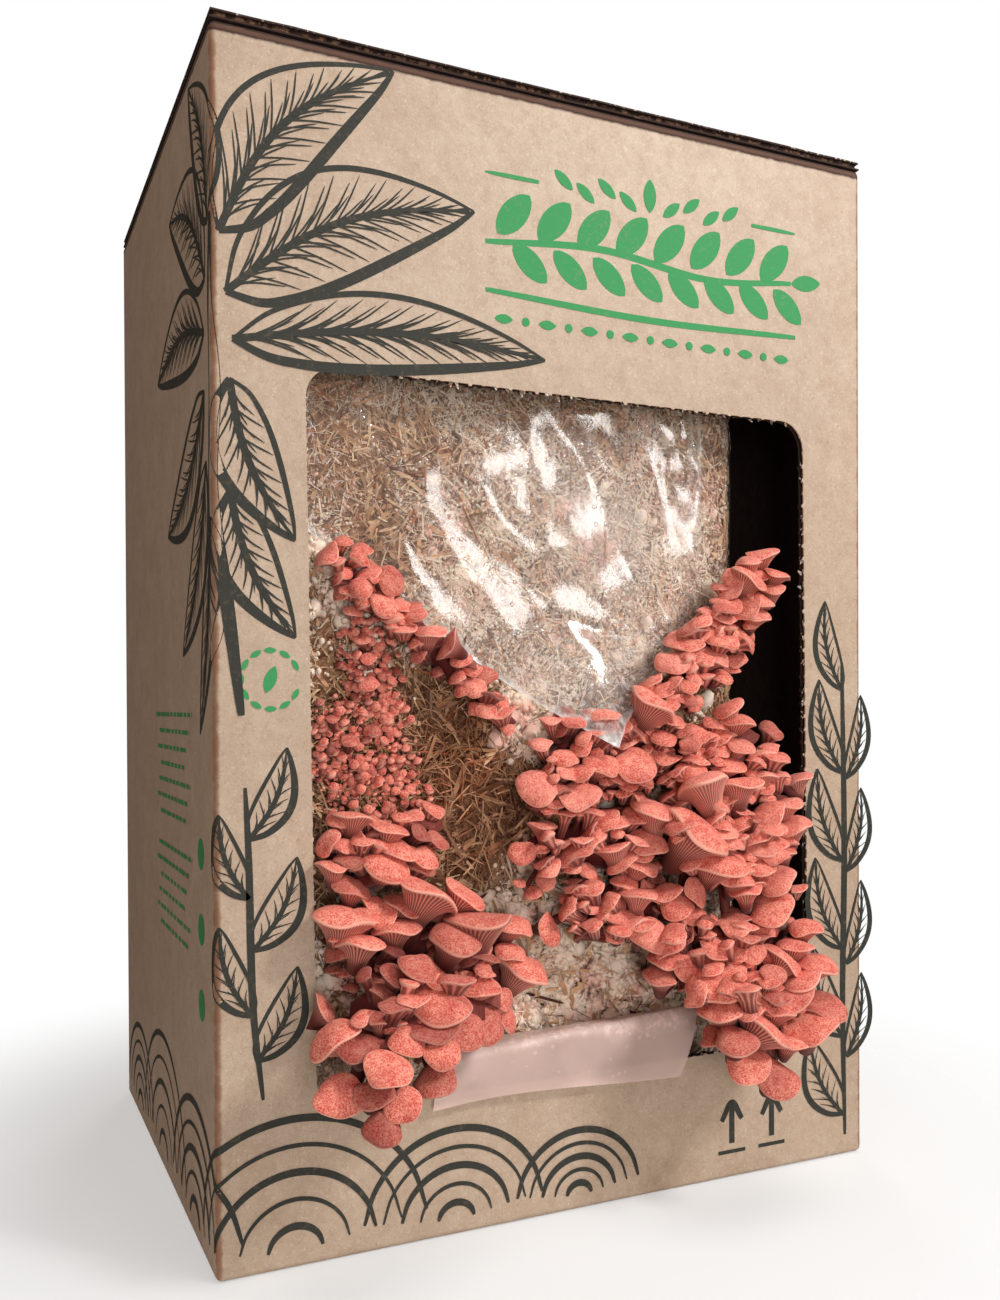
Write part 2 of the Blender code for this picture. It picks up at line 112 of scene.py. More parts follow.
FOLD_HEIGHT, SMALL_FOLD_HEIGHT, SAG_DEPTH = 0.0006, 0.00035, 0.0012
CREASES = (0.0535, 0.0575)
CREASES_FROM = 0.165
CREASE_SLANT = 0.010
# The reach at the tip is that of a painted glint round the tongue's tip
EDGE_LINE, CREASE_LINE, TIP_GLINT_REACH, FLAP_LINE = 0.0016, 0.0011, 0.009, 0.0012
# A milky veil over the upper film, partly a painted reflection
VEIL_AND_REFLECTION_PATCH = (14, 244, 50, 38)
WET_FROM, WET_SOFT = 0.222, 0.040
LUMP_SIZE = 0.030
LUMP_DEPTH = 0.0025
CUT_STRAWS = 9000
FILM_STRAWS = 16000
OTHER_STRAWS = 5000
FLUFF_COUNT = 9400
PIN_COUNT = 2100
BED_CUTS = 56
STRAW_ANGLE = 40

EYE = Vector((-0.1958, -0.4580, 0.1750))
EYE_YAW, EYE_PITCH, EYE_ROLL = -24.80, -0.41, 0.25
EYE_LENS = 32.73
EYE_SHIFT = 0.0485
SENSOR_WIDTH = 36.0
NEAREST, FARTHEST = 0.01, 30.0


# Plain tools


def clamp(value):
    """The value, kept from 0 to 1."""
    return max(0.0, min(1.0, value))


def deselect_all():
    """Leaves edit mode and selects nothing."""
    if bpy.context.object and bpy.context.object.mode != "OBJECT":
        bpy.ops.object.mode_set(mode="OBJECT")
    bpy.ops.object.select_all(action="DESELECT")


def make_only(obj):
    """Selects one object and makes it the one that operators act on."""
    deselect_all()
    obj.select_set(True)
    bpy.context.view_layer.objects.active = obj


def named(obj, name):
    obj.name = name
    obj.data.name = name
    return obj


def start_editing():
    """Edit mode, with everything selected."""
    bpy.ops.object.mode_set(mode="EDIT")
    bpy.ops.mesh.select_all(action="SELECT")


def stop_editing():
    bpy.ops.object.mode_set(mode="OBJECT")


def settle(obj):
    """Writes the object's place into its mesh."""
    make_only(obj)
    bpy.ops.object.transform_apply(location=True, rotation=True, scale=True)
    return obj


def apply_modifier(obj, kind, **settings):
    """Adds a modifier with these settings and applies it."""
    make_only(obj)
    modifier = obj.modifiers.new(kind.lower(), kind)
    for name, value in settings.items():
        setattr(modifier, name, value)
    bpy.ops.object.modifier_apply(modifier=modifier.name)


def drop(obj):
    bpy.data.objects.remove(obj, do_unlink=True)


def join(name, objects):
    """Joins the objects into the first of them."""
    deselect_all()
    for obj in objects:
        obj.select_set(True)
    bpy.context.view_layer.objects.active = objects[0]
    if len(objects) > 1:
        bpy.ops.object.join()
    return named(objects[0], name)


def add_box(name, low, high):
    """A box between two corners."""
    low, high = Vector(low), Vector(high)
    bpy.ops.mesh.primitive_cube_add(size=1.0, location=(low + high) / 2, scale=high - low)
    return settle(named(bpy.context.object, name))


def linked(name, data):
    """A new object of the data, in the scene."""
    obj = bpy.data.objects.new(name, data)
    bpy.context.scene.collection.objects.link(obj)
    return obj


def mesh_object(name, points, faces, material):
    mesh = bpy.data.meshes.new(name)
    mesh.from_pydata([tuple(p) for p in points], [], [tuple(f) for f in faces])
    mesh.materials.append(material)
    return linked(name, mesh)


def keep_rows(mesh, key, rows):
    """Keeps four numbers for each point of the mesh, for its material to read."""
    layer = mesh.attributes.new(key, "FLOAT_COLOR", "POINT")
    layer.data.foreach_set("color", np.asarray(rows, np.float32).ravel())


def shade(obj, angle=None):
    """Smooth shading, with sharp edges past an angle in degrees if one is given."""
    make_only(obj)
    if angle is None:
        bpy.ops.object.shade_smooth()
    else:
        bpy.ops.object.shade_smooth_by_angle(angle=math.radians(angle))


def hand_over(obj, slot, *nodes):
    """The finished piece rides on the body and stands for nodes, whose parts are hidden. slot is not used.
    """
    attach(obj, "root")
    if nodes:
        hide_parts(*nodes)


# Shader maths


class Wire:
    """One value in a material's node tree. Arithmetic on it adds Math nodes."""

    def __init__(self, tree, socket=None):
        self.tree = tree
        self.socket = socket

    def node(self, kind, settings=None, inputs=None, output=0):
        """Adds a node, its settings first and then the values or wires of its sockets."""
        node = self.tree.nodes.new(kind)
        for name, value in (settings or {}).items():
            if name == "stops":
                while len(node.color_ramp.elements) < len(value):
                    node.color_ramp.elements.new(1.0)
                for element, (place, colour) in zip(node.color_ramp.elements, value):
                    element.position = place
                    element.color = colour
            else:
                setattr(node, name, value)
        for name, value in (inputs or {}).items():
            if isinstance(value, Wire):
                self.tree.links.new(value.socket, node.inputs[name])
            else:
                node.inputs[name].default_value = value
        return Wire(self.tree, node.outputs[output])

    def math(self, operation, first, second, clamp=False):
        settings = {"operation": operation, "use_clamp": clamp}
        return self.node("ShaderNodeMath", settings, {0: first, 1: second})

    def __add__(self, other):
        return self.math("ADD", self, other)

    __radd__ = __add__

    def __sub__(self, other):
        return self.math("SUBTRACT", self, other)

    def __rsub__(self, other):
        return self.math("SUBTRACT", other, self)

    def __mul__(self, other):
        return self.math("MULTIPLY", self, other)

    __rmul__ = __mul__

    def sine(self):
        return self.math("SINE", self, 0.0)

    def __abs__(self):
        return self.math("ABSOLUTE", self, 0.0)

    def capped(self):
        return self.math("MULTIPLY", self, 1.0, clamp=True)

    def power(self, exponent):
        return self.math("POWER", self, exponent)

    def higher(self, other):
        return self.math("MAXIMUM", self, other)

    def rise(self, low, high):
        """0 up to low, 1 from high, and smooth between. It falls if low is above high."""
        return self.node(
            "ShaderNodeMapRange",
            {"interpolation_type": "SMOOTHSTEP"},
            {"Value": self, "From Min": low, "From Max": high},
        )

    def inside(self, low, high, soft):
        """1 between two values, falling to 0 over a soft stretch outside each."""
        return self.rise(low - soft, low) * self.rise(high + soft, high)

    def parts(self):
        """The three numbers of a vector."""
        node = self.node("ShaderNodeSeparateXYZ", None, {0: self}).socket.node
        return [Wire(self.tree, socket) for socket in node.outputs]

    def shades(self):
        """The red, green, blue of a colour."""
        node = self.node("ShaderNodeSeparateColor", None, {0: self}).socket.node
        return [Wire(self.tree, socket) for socket in node.outputs]

    def noise(self, scale, detail=2.0, roughness=0.5, stretch=None, distortion=0.0):
        """Noise from 0 to 1 over this place, with its grain at 1 / scale metres."""
        place = self
        if stretch:
            place = self.node("ShaderNodeMapping", None, {"Vector": self, "Scale": stretch})
        inputs = {
            "Vector": place,
            "Scale": scale,
            "Detail": detail,
            "Roughness": roughness,
            "Distortion": distortion,
        }
        return self.node("ShaderNodeTexNoise", None, inputs)

    def specks(self, scale, randomness=1.0):
        """The distance to the nearest of many scattered points, in grains."""
        inputs = {"Vector": self, "Scale": scale, "Randomness": randomness}
        return self.node("ShaderNodeTexVoronoi", None, inputs)

    def tint(self, first, second, kind="MIX"):
        """Mixes two colours by this factor."""
        settings = {"data_type": "RGBA", "blend_type": kind}
        return self.node("ShaderNodeMix", settings, {0: self, 6: first, 7: second}, output=2)

    def bump(self, depth, normal=None):
        inputs = {"Height": self, "Distance": depth, "Strength": 1.0}
        if normal:
            inputs["Normal"] = normal
        return self.node("ShaderNodeBump", None, inputs)


def new_material(name):
    """A material, the start of its wires, and the place on the object in metres."""
    material = bpy.data.materials.new(name)
    material.use_nodes = True
    material.node_tree.nodes.clear()
    start = Wire(material.node_tree)
    return material, start, start.node("ShaderNodeTexCoord", output="Object")


def attribute_in(wire, name):
    """The numbers kept under this name for each point."""
    return wire.node("ShaderNodeAttribute", {"attribute_name": name}, output="Color")


def coat_with(material, shader):
    """Leads a shader to the material's surface."""
    output = material.node_tree.nodes.new("ShaderNodeOutputMaterial")
    material.node_tree.links.new(shader.socket, output.inputs["Surface"])
    return material


def rgb(red, green, blue):
    """A colour given as it is seen, from 0 to 255, made linear."""
    values = []
    for value in (red, green, blue):
        share = value / 255
        values.append(share / 12.92 if share <= 0.04045 else ((share + 0.055) / 1.055) ** 2.4)
    return (*values, 1.0)


# Colours, as they are seen

KRAFT, KRAFT_LIGHT, KRAFT_MOTTLE = rgb(190, 165, 142), rgb(200, 177, 155), rgb(172, 140, 116)
FIBRE_DARK, FIBRE_PALE = rgb(156, 124, 100), rgb(228, 210, 190)
HAIR_PALE, SPECK_PALE = rgb(236, 220, 204), rgb(230, 212, 194)
FOLD_WORN = rgb(142, 90, 58)
# Painted shade of the band along the top edge, and a painted highlight on its bead
TOP_SHADE, TOP_HIGHLIGHT = rgb(56, 35, 28), rgb(132, 96, 78)
TOP_RAGGED, TOP_CRACK = rgb(206, 186, 168), rgb(150, 112, 92)
# The inside lining's colours are painted dark, as the shade inside the carton
LINING_SHADE_DARK, LINING_SHADE_LIGHT, LINING_FIBRE = rgb(52, 40, 36), rgb(78, 62, 54), rgb(38, 28, 25)
# Painted shade in the hollows between the flutes, and the pale paper of their crests
CORE_HOLLOW_SHADE, CORE_PALE = rgb(34, 20, 16), rgb(112, 82, 64)
TORN_KRAFT, TORN_WHITE, TORN_FIBRE = rgb(196, 170, 146), rgb(232, 222, 210), rgb(150, 122, 98)
DARK_INK, DARK_INK_WORN = rgb(54, 55, 50), rgb(104, 92, 78)
GREEN_INK, GREEN_INK_WORN = rgb(62, 158, 94), rgb(120, 158, 110)
BED_SHADE, BED_BROWN = rgb(38, 15, 10), rgb(122, 70, 44)
BED_DRY_DARK, BED_DRY_PALE = rgb(128, 82, 56), rgb(214, 170, 132)
BED_WHITE, BED_PINK = rgb(255, 216, 198), rgb(226, 158, 142)
STRAW_PALE, STRAW_GOLDEN, STRAW_DARK = rgb(246, 214, 172), rgb(178, 96, 50), rgb(72, 26, 15)
STRAW_STAIN, STRAW_FUZZ, STRAW_BLUSH = rgb(150, 84, 50), rgb(255, 244, 228), rgb(236, 166, 150)
FLUFF_WARM, FLUFF_WHITE, FLUFF_BLUSH = rgb(250, 216, 196), rgb(255, 238, 222), rgb(246, 176, 162)
# Painted shade in the grooves between the gills, and the gills' pale crests
GILL_GROOVE_SHADE, GILL_CREST = rgb(112, 18, 20), rgb(250, 158, 142)
CAP_PINK, CAP_VELVET = rgb(206, 64, 56), rgb(254, 172, 150)
# The rim colour is a paler margin, partly a painted highlight
CAP_PATCH, CAP_RIM_AND_HIGHLIGHT = rgb(188, 62, 62), rgb(254, 188, 168)
# Dark red for low tone and painted shade, pale for high tone and painted light
FLESH_DARK_AND_SHADE, FLESH_PALE_AND_LIGHT, FLESH_SHEEN = rgb(84, 9, 12), rgb(252, 184, 168), rgb(255, 214, 204)
FILM_CLEAR, FILM_MILKY = rgb(240, 238, 236), rgb(234, 204, 195)
GLOSS_CLEAR, GLOSS_MILKY = rgb(255, 255, 255), rgb(250, 246, 244)
FILM_SEEN_THROUGH = (0.97, 0.965, 0.96, 1.0)
FLOOR_GREY, FLOOR_WHITE = rgb(240, 240, 240), rgb(246, 246, 246)


# Finishes. The first number of each noise is its grain, as 1 / metres.


def principled(start, colour, roughness, normal, **others):
    """The common shader. Other sockets are named with _ for a space."""
    sockets = {"Base Color": colour, "Roughness": roughness}
    if normal:
        sockets["Normal"] = normal
    for name, value in others.items():
        sockets[name.replace("_", " ")] = value
    return start.node("ShaderNodeBsdfPrincipled", None, sockets)


def painted(material, start, colour, roughness, normal, **others):
    """The material, finished with the common shader alone."""
    return coat_with(material, principled(start, colour, roughness, normal, **others))


def kraft_liner():
    """Brown kraft paper: clouds, fine fibres, pale and dark specks, worn dark where it is folded."""
    material, start, place = new_material("kraft_liner")
    x, y, z = place.parts()
    clouds = place.noise(70, 4, 0.6)
    mottle = place.noise(260, 3, 0.6)
    fibres = place.noise(800, 3, 0.7, distortion=1.2)
    hairs = place.noise(620, 2, 0.5, distortion=2.5)
    pale_specks = place.specks(260)
    colour = clouds.rise(0.30, 0.70).tint(KRAFT, KRAFT_LIGHT)
    colour = (mottle.rise(0.42, 0.68) * 0.30).tint(colour, KRAFT_MOTTLE)
    colour = (fibres.rise(0.54, 0.68) * 0.42).tint(colour, FIBRE_DARK)
    colour = (fibres.rise(0.45, 0.32) * 0.42).tint(colour, FIBRE_PALE)
    colour = (abs(hairs - 0.5).rise(0.012, 0.002) * 0.40).tint(colour, HAIR_PALE)
    colour = (pale_specks.rise(0.12, 0.05) * 0.45).tint(colour, SPECK_PALE)

    # Worn along the upright folds
    past_side = abs(x) - RIGHT
    past_end = abs(y) - BACK
    to_fold = past_side.higher(-0.5) + past_end
    worn = (to_fold + mottle * 0.0016).rise(-0.0015, -0.0005) * 0.80
    colour = worn.tint(colour, FOLD_WORN)

    # Painted shade along the top edge, with a painted highlight on the bead, a ragged rim and cracks
    rim = past_side.higher(past_end).rise(-0.0030, -0.0018)
    top_shade_mask = (z + mottle * 0.0012).rise(TOP - 0.0070, TOP - 0.0058) * rim
    colour = top_shade_mask.tint(colour, TOP_SHADE)
    # Painted highlight: a paler line along the rounded bead of the top band
    bead_highlight = (z + mottle * 0.0006).inside(TOP - 0.0056, TOP - 0.0048, 0.0006) * rim
    colour = (bead_highlight * 0.45).tint(colour, TOP_HIGHLIGHT)
    ragged = (z.rise(TOP - 0.0008, TOP - 0.0005) * rim) * place.noise(760, 2, 0.6).rise(0.58, 0.64)
    colour = ragged.tint(colour, TOP_RAGGED)
    cracked = top_shade_mask * place.noise(520, 3, 0.7, stretch=(0.35, 1.0, 1.6)).rise(0.64, 0.70)
    colour = (cracked * 0.40).tint(colour, TOP_CRACK)

    height = fibres * 0.35 + mottle * 0.4 + place.noise(48, 2) * 2.0
    roughness = 0.50 + mottle * 0.12 + top_shade_mask * 0.40
    return painted(material, start, colour, roughness, height.bump(0.00022), Specular_IOR_Level=0.60)


def kraft_inside():
    """The lining of the board inside the carton, painted dark as the shade inside the carton."""
    material, start, place = new_material("kraft_inside")
    mottle = place.noise(180, 3, 0.6)
    fibres = place.noise(700, 2, 0.6, stretch=(1.0, 1.0, 0.4))
    colour = mottle.tint(LINING_SHADE_DARK, LINING_SHADE_LIGHT)
    colour = (fibres.rise(0.55, 0.70) * 0.4).tint(colour, LINING_FIBRE)
    normal = fibres.bump(0.0002)
    return painted(material, start, colour, 0.80 + mottle * 0.1, normal, Specular_IOR_Level=0.2)


def board_core():
    """The cut edge of corrugated board: painted shade in the hollows between the flutes, with pale crests.
    """
    material, start, place = new_material("board_core")
    rough = place.noise(900, 3, 0.7)
    flutes = (place.noise(420, 2, 0.6, stretch=(1.0, 1.0, 0.6)) * 0.7 + rough * 0.4).rise(0.50, 0.66)
    colour = flutes.tint(CORE_HOLLOW_SHADE, CORE_PALE)
    return painted(material, start, colour, 0.80 + rough * 0.15, rough.bump(0.0003), Specular_IOR_Level=0.2)


def torn_paper():
    """Torn paper: pale fibres over kraft."""
    material, start, place = new_material("torn_paper")
    fibres = place.noise(1300, 3, 0.7, stretch=(1.0, 1.0, 0.4))
    patches = place.noise(300, 2)
    colour = patches.rise(0.45, 0.60).tint(TORN_KRAFT, TORN_WHITE)
    colour = (fibres.rise(0.50, 0.70) * 0.5).tint(colour, TORN_FIBRE)
    normal = fibres.bump(0.0002)
    return painted(material, start, colour, 0.85 + fibres * 0.1, normal, Specular_IOR_Level=0.2)


def ink(name, fresh, faded):
    """Ink soaked into kraft paper: the paper's specks show through it."""
    material, start, place = new_material(name)
    soak = place.noise(620, 3, 0.65)
    wear = place.noise(60, 2)
    colour = ((soak + wear * 0.25).rise(0.66, 0.86) * 0.55).tint(fresh, faded)
    return painted(material, start, colour, 0.60 + soak * 0.2, soak.bump(0.00008), Specular_IOR_Level=0.3)


def straw_bed():
    """What lies between the straws: brown, with painted shade in its darkest grains where it is bare, and a
    white bloom of mycelium in patches.
    """
    material, start, place = new_material("straw_bed")
    grain = place.noise(520, 4, 0.7)
    bloom = place.noise(62, 4, 0.65)
    fine = place.noise(1400, 2, 0.6)
    overgrown = attribute_in(start, "overgrown").shades()[0]
    bare = grain.rise(0.30, 0.72).tint(BED_SHADE, BED_BROWN)
    dry = grain.rise(0.30, 0.72).tint(BED_DRY_DARK, BED_DRY_PALE)
    colour = (overgrown + bloom * 0.3).rise(0.05, 0.35).tint(bare, dry)
    white = (bloom * 0.5 + grain * 1.1 + overgrown * 0.40).rise(0.98, 1.20)
    colour = (white * 0.85).tint(colour, BED_WHITE)
    pink = place.noise(30, 3, 0.6).rise(0.45, 0.65) * white * 0.6
    colour = pink.tint(colour, BED_PINK)
    normal = (grain + fine * 0.2).bump(0.00035)
    return painted(material, start, colour, 0.82 + fine * 0.12, normal, Specular_IOR_Level=0.25)


def chopped_straw():
    """Straws. The attribute tone holds how golden, how bright and how overgrown with white each is."""
    material, start, place = new_material("chopped_straw")
    golden, bright, white = attribute_in(start, "tone").shades()
    ribs = place.noise(1500, 2, 0.6)
    stain = place.noise(300, 3, 0.6)
    colour = golden.tint(STRAW_PALE, STRAW_GOLDEN)
    colour = (stain.rise(0.45, 0.72) * 0.50).tint(colour, STRAW_STAIN)
    fuzz = (white + place.noise(420, 3, 0.7) * 0.8).rise(0.52, 0.90)
    colour = (fuzz * 0.9).tint(colour, STRAW_FUZZ)
    blush = place.noise(38, 3, 0.6).rise(0.56, 0.66) * fuzz * 0.5
    colour = blush.tint(colour, STRAW_BLUSH)
    colour = bright.rise(0.1, 0.85).tint(STRAW_DARK, colour)
    return painted(material, start, colour, 0.55 + ribs * 0.3, ribs.bump(0.00006), Specular_IOR_Level=0.4)


def mycelium():
    """White fluff that binds the straw, blushing pink in places."""
    material, start, place = new_material("mycelium")
    fluff = place.noise(1300, 3, 0.7)
    blush = place.noise(55, 3, 0.6)
    colour = fluff.rise(0.25, 0.55).tint(FLUFF_WARM, FLUFF_WHITE)
    colour = (blush.rise(0.48, 0.66) * 0.55).tint(colour, FLUFF_BLUSH)
    return painted(
        material,
        start,
        colour,
        0.9 + fluff * 0.08,
        fluff.bump(0.00010),
        Specular_IOR_Level=0.15,
        Subsurface_Weight=0.2,
        Subsurface_Radius=(0.002, 0.0015, 0.001),
    )


def mushroom_flesh():
    """Pink flesh. The attribute form holds a gill's crest, the upper side, and the tone: the cap's own tone
    with painted shade and light worked in.
    """
    material, start, place = new_material("mushroom_flesh")
    crest, upper, tone = attribute_in(start, "form").shades()
    velvet = place.noise(2750, 3, 0.7)
    bloom = place.noise(1700, 2, 0.6)
    mottle = place.noise(380, 3, 0.65)
    patch = place.noise(130, 2)
    # Painted shade in the gill grooves, paler at the crests
    gills = crest.rise(0.22, 0.92).tint(GILL_GROOVE_SHADE, GILL_CREST)
    fuzz = (velvet * 0.52 + bloom * 0.42 + mottle * 0.25).rise(0.47, 0.71)
    top = fuzz.tint(CAP_PINK, CAP_VELVET)
    top = (patch.rise(0.45, 0.65) * 0.25).tint(top, CAP_PATCH)
    # A paler rim: the cap's own margin, partly a painted highlight along it
    rim = upper.inside(0.12, 0.60, 0.18) * 0.75
    colour = upper.rise(0.15, 0.35).tint(gills, top)
    colour = rim.tint(colour, CAP_RIM_AND_HIGHLIGHT)
    # Low tone paints deep red: caps darker at random, and painted shade down the stems, on the swellings,
    # under nearer caps and on the dimmer bunches. High tone paints pale: caps paler at random, and painted
    # light on the brighter bunches.
    colour = (tone.rise(0.42, 0.0) * 0.94).tint(colour, FLESH_DARK_AND_SHADE)
    colour = (tone.rise(0.55, 0.95) * 0.18).tint(colour, FLESH_PALE_AND_LIGHT)
    height = (velvet + bloom) * upper
    return painted(
        material,
        start,
        colour,
        0.55 + velvet * 0.2,
        height.bump(0.00010),
        Specular_IOR_Level=0.3,
        Subsurface_Weight=0.15,
        Subsurface_Radius=(0.0016, 0.0005, 0.0004),
        Sheen_Weight=0.12,
        Sheen_Roughness=0.4,
        Sheen_Tint=FLESH_SHEEN,
    )


def clear_film():
    """Clear film: see-through, with a broad gloss, a faint haze, white along its creases and edges, a
    painted glint at the tongue's tip, and a milky veil that is partly a painted reflection.

    The attribute form holds how white it is, how frosted, and how wet with bubbles.
    """
    material, start, place = new_material("clear_film")
    white, frost, wet = attribute_in(start, "form").shades()
    fine = place.noise(420, 3, 0.6)
    ripples = place.noise(90, 2, 0.5)
    folds = (place.noise(9, 1, 0.4, distortion=1.2) * 30.0 + ripples * 0.4).sine()
    creased = folds * place.noise(16, 1).rise(0.30, 0.52)
    drops = place.specks(300).rise(0.30, 0.18) * place.noise(60, 2).rise(0.50, 0.60)
    cloud = place.noise(45, 2) * frost * 0.35
    bubbly = wet * (0.08 + fine.rise(0.45, 0.70) * 0.30)
    haze = 0.05 + white * 0.55 + frost * 0.48 + cloud + bubbly + drops * 0.16
    haze = haze + fine.rise(0.60, 0.80) * 0.06
    height = creased * 0.85 + ripples * 0.2 + fine * (0.02 + wet * 0.14) + drops * 0.08
    normal = height.bump(0.0006)
    milky = principled(start, frost.tint(FILM_CLEAR, FILM_MILKY), 0.35 + fine * 0.2, normal)
    mirror_roughness = 0.11 + frost * 0.30 + fine * 0.03
    mirror = principled(start, frost.tint(GLOSS_CLEAR, GLOSS_MILKY), mirror_roughness, normal, Metallic=1.0)
    through = start.node("ShaderNodeBsdfTransparent", None, {"Color": FILM_SEEN_THROUGH})
    body = start.node("ShaderNodeMixShader", None, {0: haze.capped(), 1: through, 2: milky})
    grazing = start.node("ShaderNodeLayerWeight", None, {"Blend": 0.5}, "Facing")
    gloss = (grazing.power(5.0) * 0.85 + 0.075) * (1 - frost * 0.92)
    both = start.node("ShaderNodeMixShader", None, {0: gloss.capped(), 1: body, 2: mirror})
    return coat_with(material, both)


def floor_paint():
    """White studio floor that fades out into the white behind it."""
    material, start, place = new_material("floor_paint")
    x, y = place.parts()[:2]
    faint = place.noise(3.0, 2)
    away = (x * x + y * y).power(0.5)
    return painted(
        material,
        start,
        faint.tint(FLOOR_GREY, FLOOR_WHITE),
        0.7 + faint * 0.1,
        None,
        Specular_IOR_Level=0.2,
        Alpha=away.rise(0.31, 0.145) * 0.54,
    )


# Carton


def window_outline(grown, roughness, draw):
    """Points (x, z) round the window: torn sides with the nibs of a perforation, and round corners."""
    corners = [Vector(corner) for corner in WINDOW_CORNERS]
    middle = sum(corners, Vector((0.0, 0.0))) / 4
    for corner in corners:
        out = corner - middle
        corner += Vector((math.copysign(grown, out.x), math.copysign(grown, out.y)))
    radius = WINDOW_RADIUS + grown
    outline = []
    for index, corner in enumerate(corners):
        following = corners[(index + 1) % 4]
        along = (following - corner).normalized()
        inward = Vector((-along.y, along.x))
        length = (following - corner).length - 2 * radius
        steps = max(1, round(length / NIB_STEP))
        for step in range(steps):
            start = radius + length * step / steps
            reach = length / steps
            nib = roughness * (0.35 + draw.random() ** 2 * 1.5)
            wander = roughness * 0.25 * (draw.random() - 0.5)
            slant = draw.random() * 0.08
            nib_end = nib * (0.55 + 0.6 * draw.random())
            profile = (
                (0.02, wander),
                (0.52 + slant, wander * 0.4),
                (0.60 + slant, nib),
                (0.78 + slant, nib_end),
                (0.90, wander),
            )
            for share, offset in profile:
                outline.append(corner + along * (start + reach * share) + inward * offset)
        turn_middle = following - along * radius + inward * radius
        for part in range(1, TURN_PARTS):
            angle = part / TURN_PARTS * math.pi / 2
            offset = -inward * math.cos(angle) + along * math.sin(angle)
            ragged = roughness * 0.4 * (draw.random() - 0.3)
            outline.append(turn_middle + offset * (radius - ragged))
    return outline


def flat_solid(name, outline, low_y, high_y):
    """A flat outline in the front's plane, filled and drawn out from low_y to high_y."""
    curve = bpy.data.curves.new(name, "CURVE")
    curve.dimensions = "2D"
    curve.fill_mode = "BOTH"
    curve.extrude = (high_y - low_y) / 2
    spline = curve.splines.new("POLY")
    spline.points.add(len(outline) - 1)
    for point, (x, z) in zip(spline.points, outline):
        point.co = (x, z, 0.0, 1.0)
    spline.use_cyclic_u = True
    obj = linked(name, curve)
    obj.location = (0, (low_y + high_y) / 2, 0)
    obj.rotation_euler = (math.radians(90), 0, 0)
    make_only(obj)
    bpy.ops.object.convert(target="MESH")
    obj = settle(bpy.context.object)
    start_editing()
    bpy.ops.mesh.remove_doubles(threshold=WELD)
    bpy.ops.mesh.normals_make_consistent(inside=False)
    stop_editing()
    return obj


def board_layer(name, inset, thickness, height, material):
    """One paper layer of the sleeve: a rounded box, hollowed to its thickness."""
    low = CARTON_LOW + Vector((inset, inset, inset))
    high = Vector((CARTON_HIGH.x - inset, CARTON_HIGH.y - inset, height - inset))
    layer = add_box(name, low, high)
    start_editing()
    bpy.ops.mesh.bevel(offset=max(FOLD_RADIUS - inset, 0.0003), segments=4, profile=0.5)
    stop_editing()
    apply_modifier(layer, "SOLIDIFY", thickness=thickness, offset=-1.0)
    layer.data.materials.append(material)
    return layer


def cut_window(layer, outline):
    """Cuts the window out of the front of a layer."""
    cutter = flat_solid("window_cutter", outline, FRONT - CUTTER_REACH, FRONT + CUTTER_REACH)
    apply_modifier(layer, "BOOLEAN", operation="DIFFERENCE", solver="EXACT", object=cutter)
    drop(cutter)


def make_sleeve(liner, core, inner, draw):
    """Outer liner, flutes and inner liner of the board, each with its own torn edge at the window."""
    height = TOP - LID - LID_GAP
    flutes_thickness = BOARD - 2 * LINER - 2 * LAYER_GAP
    layers = []
    for name, inset, thickness, material, window_grown, roughness in (
        ("carton_sleeve", 0.0, LINER, liner, 0.0, NIB_HEIGHT),
        ("flutes", LINER + LAYER_GAP, flutes_thickness, core, FLUTES_SET_BACK, 0.0006),
        ("lining", BOARD - LINER, LINER, inner, -0.0001, NIB_HEIGHT * 0.9),
    ):
        layer = board_layer(name, inset, thickness, height, material)
        cut_window(layer, window_outline(window_grown, roughness, draw))
        layers.append(layer)
    sleeve = join("carton_sleeve", layers)
    shade(sleeve, SHARP_ANGLE)
    return sleeve


def make_lid(liner, core):
    """The outer flap, folded over from the back: two liners with the flutes' cut edge set back."""
    low = Vector((LEFT + LID_IN_SIDES, FRONT + LID_IN_FRONT, TOP - LID))
    high = Vector((RIGHT - LID_IN_SIDES, BACK - LID_IN_BACK, TOP))
    plates = []
    for name, bottom, top, set_back, material in (
        ("carton_lid", high.z - LINER, high.z, 0.0, liner),
        ("lid_flutes", low.z + LINER, high.z - LINER, FLUTES_SET_BACK, core),
        ("lid_under", low.z, low.z + LINER, -0.0002, liner),
    ):
        corner = (low.x + set_back, low.y + set_back, bottom)
        plate = add_box(name, corner, (high.x - set_back, high.y, top))
        start_editing()
        bpy.ops.mesh.subdivide(number_cuts=LID_CUTS)
        stop_editing()
        for vert in plate.data.vertices:
            if vert.co.y < low.y + LID_EDGE:
                vert.co.y += LID_RAGGED * noise.noise(vert.co * 180)
            near_front = max(0.0, 1 - (vert.co.y - low.y) / LID_SAG_REACH)
            vert.co.z -= LID_SAG * near_front * (0.5 + 0.5 * noise.noise(vert.co * 22))
        plate.data.materials.append(material)
        plates.append(plate)
    lid = join("carton_lid", plates)
    shade(lid, SHARP_ANGLE)
    return lid


def paper_flake():
    """A small torn flake: a bent, pointed leaf of paper."""
    bpy.ops.mesh.primitive_grid_add(x_subdivisions=3, y_subdivisions=4, size=1.0)
    flake = bpy.context.object
    for vert in flake.data.vertices:
        narrow = 1 - 0.75 * max(0.0, vert.co.y + 0.5) ** 1.5
        vert.co.x *= narrow
        vert.co.z += 0.45 * (vert.co.y + 0.5) ** 2 + 0.10 * vert.co.x
    points = np.array([v.co for v in flake.data.vertices])
    faces = [tuple(p.vertices) for p in flake.data.polygons]
    drop(flake)
    return points, faces


